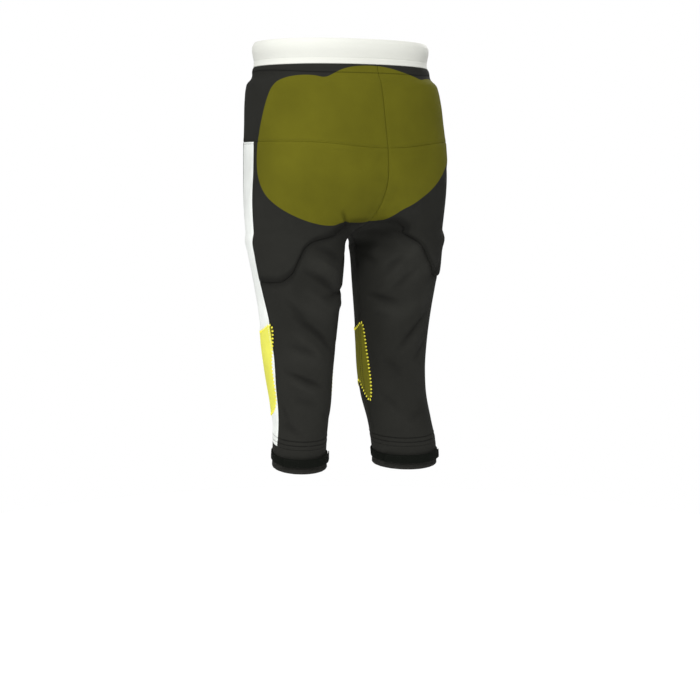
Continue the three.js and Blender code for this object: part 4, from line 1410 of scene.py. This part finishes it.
def downward_line(side, start, stop, turn_at, lift=STITCH_LIFT):
    """A stitch line down the garment, at a turn given by depth."""
    down = np.linspace(start, stop, max(3, int(abs(stop - start) / 4.0)))
    return side, turn_at(down), down, lift, False


def beside(side, edge, offset):
    """A line of turns that runs a few millimetres beside an edge."""
    return lambda down: edge(down) + offset / cloth_per_turn(side, edge(down), down)


def shifted(side, turn, down, offset):
    """Turns and depths of a line moved square to itself by an offset in millimetres, upwards if positive."""
    per_turn = cloth_per_turn(side, turn, down)
    run, drop = np.gradient(turn) * per_turn, np.gradient(down)
    length = np.hypot(run, drop)
    return turn + offset * drop / length / per_turn, down - offset * run / length


def hem_stripe(side):
    """Turns of the stripe's front and back edges at a hem."""
    return float(stripe_front(side, np.array(HEM))), float(stripe_back(np.array(HEM)))


def stripe_edge_lines(side, offset):
    """Stitch lines beside the stripe's edges, outside the stripe if the offset is positive."""
    low = cuff_top(side, 0.5) - STITCH_INSET
    front = beside(side, lambda down: stripe_front(side, down), -offset)
    back = beside(side, stripe_back, offset)
    return [downward_line(side, HIP_SEAM + LINE_END, low, edge) for edge in (front, back)]


def hem_lines(side, spans):
    """Two rows of stitches above a cuff's seam, over spans of turns."""
    lines = []
    for above in HEM_ROWS:
        for start, stop in spans:
            lines.append(around(side, start, stop, lambda turn: cuff_top(side, turn) - above, 0.3))
    return lines


def black_lines():
    """Stitch lines in black thread."""
    lines = []
    share = np.linspace(0.03, 0.97, 90)
    for side in SIDES:
        for offset in (-STITCH_INSET, STITCH_INSET):
            lines.append(around(side, 0.006, 0.994, lambda turn: hip_seam(turn) + offset))
        lines.append(around(side, 0.004, 0.996, casing_seam, 0.1))
        front = beside(side, lambda down: 0 * down, STITCH_INSET)
        back = beside(side, lambda down: 0 * down + 1.0, -STITCH_INSET)
        top, inseam_low = BAND_HEIGHT + 2, cuff_top(side, 0.0) - STITCH_INSET
        lines.append(downward_line(side, top, RISE - SEAT_SEAM_ABOVE - LINE_END, back))
        lines.append(downward_line(side, top, inseam_low, front))
        lines.append(downward_line(side, RISE - 6, cuff_top(side, 1.0) - STITCH_INSET, back))
        down = seat_seam(side, share)
        turn = mix(stripe_back(down), 1.0, share)
        lines.append((side, *shifted(side, turn, down, -STITCH_INSET), 0.3, False))
        lines += stripe_edge_lines(side, STITCH_INSET)
        first, last = hem_stripe(side)
        lines += hem_lines(side, ((0.012, first - 0.01), (last + 0.01, 0.988)))
        turn = np.arange(72) / 72
        lines.append((side, turn, hem_down(side, turn) - 5.0, STITCH_LIFT, True))
    return lines


def white_lines():
    """Stitch lines in white thread, on the stripes."""
    lines = []
    for side in SIDES:
        first, last = hem_stripe(side)
        lines += stripe_edge_lines(side, -STITCH_INSET)
        lines += hem_lines(side, ((first + 0.012, last - 0.012),))
    return lines


def tab_lines(side):
    """A box of stitches at each end of a tab."""
    low, high = STRAP_ABOVE_HEM + 1.6, STRAP_ABOVE_HEM + STRAP_HEIGHT - 1.6
    start, stop = TAB_START_SHARE, TAB_STOP_SHARE
    lines = []
    for first, last in ((start + 0.014, start + 0.075), (stop - 0.075, stop - 0.014)):
        turn = np.concatenate([np.linspace(first, last, 8), np.linspace(last, first, 8)])
        height = np.concatenate([np.full(8, low), np.full(8, high)])
        lines.append((side, turn, hem_down(side, turn) - height, TAB_FACE + 0.1, True))
    return lines


def rounded_profile(low, high, face, wall, steps, count, bump):
    """A closed outline of heights and lifts, with round long edges. bump(height) moves the outer face."""
    radius = min(wall, high - low) / 2
    angles = np.linspace(0, np.pi, 2 * steps + 1)
    top = [(high - radius + radius * math.sin(a), face - radius + radius * math.cos(a)) for a in angles]
    bottom = [(low + radius - radius * math.sin(a), face - radius - radius * math.cos(a)) for a in angles]
    inner = [(h, face - 2 * radius) for h in np.linspace(high - radius, low + radius, 8)[1:-1]]
    outer = [(h, face + bump(h)) for h in np.linspace(low + radius, high - radius, count + 2)[1:-1]]
    return np.array(top + inner + bottom + outer)


def swept(name, grid, closed=True, uv=None):
    """A mesh over a grid of profile rings: the profile always closes, and so does the run if asked."""
    columns, count = grid.shape[:2]
    index = np.arange(columns * count).reshape(columns, count)
    beyond = np.roll(index, -1, axis=1)
    after, after_beyond = np.roll(index, -1, axis=0), np.roll(beyond, -1, axis=0)
    quads = np.stack([index, beyond, after_beyond, after], -1)
    if not closed:
        quads = quads[:-1]
    faces = quads.reshape(-1, 4).tolist()
    if not closed:
        faces += [index[0][::-1].tolist(), index[-1].tolist()]
    return solid(name, grid.reshape(-1, 3), faces, None, uv)


def aim(thing, target):
    """Turns a light or camera towards a point."""
    thing.rotation_euler = (Vector(target) - thing.location).to_track_quat("-Z", "Y").to_euler()


def camera():
    """The camera, at the photograph's viewing angle."""
    data = bpy.data.cameras.new("camera")
    data.lens = CAMERA_LENS
    data.sensor_width = 36.0
    data.clip_end = 60.0
    eye = bpy.data.objects.new("camera", data)
    bpy.context.scene.collection.objects.link(eye)
    azimuth = math.radians(CAMERA_AZIMUTH)
    eye.location = (CAMERA_REACH * math.sin(azimuth), -CAMERA_REACH * math.cos(azimuth), CAMERA_HEIGHT)
    eye.rotation_euler = (math.radians(90 - CAMERA_PITCH), 0, azimuth - math.radians(CAMERA_YAW))
    bpy.context.scene.camera = eye


def lamp(name, spot, size, power):
    """A soft square light."""
    data = bpy.data.lights.new(name, "AREA")
    data.shape = "SQUARE"
    data.size = size
    data.energy = power
    light = bpy.data.objects.new(name, data)
    bpy.context.scene.collection.objects.link(light)
    light.location = spot
    aim(light, LAMP_TARGET)


def studio():
    """Floor, soft light, white surroundings and the camera."""
    work = bmesh.new()
    bmesh.ops.create_circle(work, cap_ends=True, segments=96, radius=FLOOR_RADIUS)
    bmesh.ops.translate(work, verts=work.verts, vec=(0, 0, FLOOR))
    mesh = bpy.data.meshes.new("floor")
    work.to_mesh(mesh)
    work.free()
    floor = bpy.data.objects.new("floor", mesh)
    bpy.context.scene.collection.objects.link(floor)
    f = Finish("studio_floor")
    tone = f.tint((0.82, 0.82, 0.82), 0.99 + f.noise(3.0, 2.0) * 0.02)
    floor.data.materials.append(
        f.done(tone, 0.9, emission_color=(1, 1, 1, 1), emission_strength=FLOOR_GLOW))
    world = bpy.data.worlds.new("white_room")
    bpy.context.scene.world = world
    world.use_nodes = True
    nodes, links = world.node_tree.nodes, world.node_tree.links
    nodes.clear()
    seen = nodes.new("ShaderNodeLightPath")
    strength = nodes.new("ShaderNodeMapRange")
    strength.inputs["To Min"].default_value = ROOM_LIGHT
    strength.inputs["To Max"].default_value = 1.0
    links.new(seen.outputs["Is Camera Ray"], strength.inputs["Value"])
    sky = nodes.new("ShaderNodeBackground")
    sky.inputs["Color"].default_value = (1, 1, 1, 1)
    links.new(strength.outputs[0], sky.inputs["Strength"])
    out = nodes.new("ShaderNodeOutputWorld")
    links.new(sky.outputs[0], out.inputs["Surface"])
    for row in LAMPS:
        lamp(*row)
    bpy.context.scene.view_settings.view_transform = "Standard"
    bpy.context.scene.view_settings.look = "None"
    camera()


class PieceMaker:
    """What the operators share that make a group of pieces, one side or one name at a time."""
    makers = ()
    names = SIDES

    def execute(self, context):
        for name in self.names:
            for make in self.makers:
                make(name)
        return {"FINISHED"}


class TIGHTS_OT_yokes(PieceMaker, bpy.types.Operator):
    """Makes the cloth between the waistband and the hip seam"""
    bl_idname = "tights.yokes"
    bl_label = "Yokes"
    makers = (yoke,)


class TIGHTS_OT_seat_panels(PieceMaker, bpy.types.Operator):
    """Makes the cloth over the seat pads"""
    bl_idname = "tights.seat_panels"
    bl_label = "Seat panels"
    makers = (seat_panel,)


class TIGHTS_OT_leg_backs(PieceMaker, bpy.types.Operator):
    """Makes the backs of the legs"""
    bl_idname = "tights.leg_backs"
    bl_label = "Leg backs"
    makers = (leg_back,)


class TIGHTS_OT_front_panels(PieceMaker, bpy.types.Operator):
    """Makes the fronts of the trunk and legs"""
    bl_idname = "tights.front_panels"
    bl_label = "Front panels"
    makers = (front_panel,)


class TIGHTS_OT_side_stripes(PieceMaker, bpy.types.Operator):
    """Makes the white side stripes"""
    bl_idname = "tights.side_stripes"
    bl_label = "Side stripes"
    makers = (side_stripe,)


class TIGHTS_OT_waistband(bpy.types.Operator):
    """Makes the elastic waistband"""
    bl_idname = "tights.waistband"
    bl_label = "Waistband"

    def execute(self, context):
        waistband()
        return {"FINISHED"}


class TIGHTS_OT_cuffs(PieceMaker, bpy.types.Operator):
    """Makes the turned hems"""
    bl_idname = "tights.cuffs"
    bl_label = "Cuffs"
    makers = (hem_cuff,)


class TIGHTS_OT_straps(PieceMaker, bpy.types.Operator):
    """Makes the calf straps and their overlapping ends"""
    bl_idname = "tights.straps"
    bl_label = "Calf straps"
    makers = (calf_strap, strap_tab)


class TIGHTS_OT_seam_tapes(bpy.types.Operator):
    """Makes the tapes inside the seams"""
    bl_idname = "tights.seam_tapes"
    bl_label = "Seam tapes"

    def execute(self, context):
        seam_tapes()
        return {"FINISHED"}


class TIGHTS_OT_seat_pads(PieceMaker, bpy.types.Operator):
    """Makes the moulded hip and tail pads"""
    bl_idname = "tights.seat_pads"
    bl_label = "Hip and tail pads"
    makers = (moulded_pad,)
    names = tuple(PADS)


class TIGHTS_OT_knee_pads(PieceMaker, bpy.types.Operator):
    """Makes the foam knee pads"""
    bl_idname = "tights.knee_pads"
    bl_label = "Knee pads"
    makers = (knee_pad,)


class TIGHTS_OT_stitching(bpy.types.Operator):
    """Sews every seam, hem and outline"""
    bl_idname = "tights.stitching"
    bl_label = "Stitching"

    def execute(self, context):
        s = sizes()
        fine = (s.stitch_pitch, s.stitch_length, s.stitch_width, THREAD_HEIGHT)
        stitched("stitches_black", black_lines(), *fine, "black_thread", "black_cloth")
        stitched("stitches_white", white_lines(), *fine, "white_thread", "white_cloth")
        tabs = [line for side in SIDES for line in tab_lines(side)]
        stitched("stitches_tabs", tabs, *fine, "black_thread", "strap_tape")
        knees = [(side, KNEE_OUTLINE[:, 0], KNEE_OUTLINE[:, 1], STITCH_LIFT, True) for side in SIDES]
        stitched("stitches_knees", knees, s.knee_pitch, *KNEE_STITCH, "bold_thread", "pad_foam")
        return {"FINISHED"}


class TIGHTS_OT_studio(bpy.types.Operator):
    """Sets up the floor, the light and the camera"""
    bl_idname = "tights.studio"
    bl_label = "Studio"

    def execute(self, context):
        studio()
        return {"FINISHED"}


OPERATORS = (
    TIGHTS_OT_waistband, TIGHTS_OT_yokes, TIGHTS_OT_seat_panels, TIGHTS_OT_leg_backs,
    TIGHTS_OT_front_panels, TIGHTS_OT_side_stripes, TIGHTS_OT_cuffs, TIGHTS_OT_straps,
    TIGHTS_OT_seam_tapes, TIGHTS_OT_seat_pads, TIGHTS_OT_knee_pads, TIGHTS_OT_stitching, TIGHTS_OT_studio,
)


class TIGHTS_PT_panel(bpy.types.Panel):
    """Lists the garment's sizes, colours and pieces"""
    bl_idname = "TIGHTS_PT_panel"
    bl_label = "Padded tights"
    bl_space_type = "VIEW_3D"
    bl_region_type = "UI"
    bl_category = "Tights"

    def draw(self, context):
        for group in (context.scene.tights_sizes, context.scene.tights_colours):
            box = self.layout.box()
            for key in group.bl_rna.properties.keys():
                if key not in ("rna_type", "name"):
                    box.prop(group, key)
        for operator in OPERATORS:
            self.layout.operator(operator.bl_idname)


CLASSES = (TightsSizes, TightsColours, *OPERATORS, TIGHTS_PT_panel)


def register():
    """Adds the classes to Blender."""
    for made in CLASSES:
        bpy.utils.register_class(made)
    bpy.types.Scene.tights_sizes = bpy.props.PointerProperty(type=TightsSizes)
    bpy.types.Scene.tights_colours = bpy.props.PointerProperty(type=TightsColours)


def unregister():
    """Takes the classes out of Blender."""
    del bpy.types.Scene.tights_colours
    del bpy.types.Scene.tights_sizes
    for made in reversed(CLASSES):
        bpy.utils.unregister_class(made)


def main():
    """Makes the whole scene."""
    register()
    for operator in OPERATORS:
        getattr(bpy.ops.tights, operator.bl_idname.split(".")[1])()


if __name__ == "__main__":
    main()
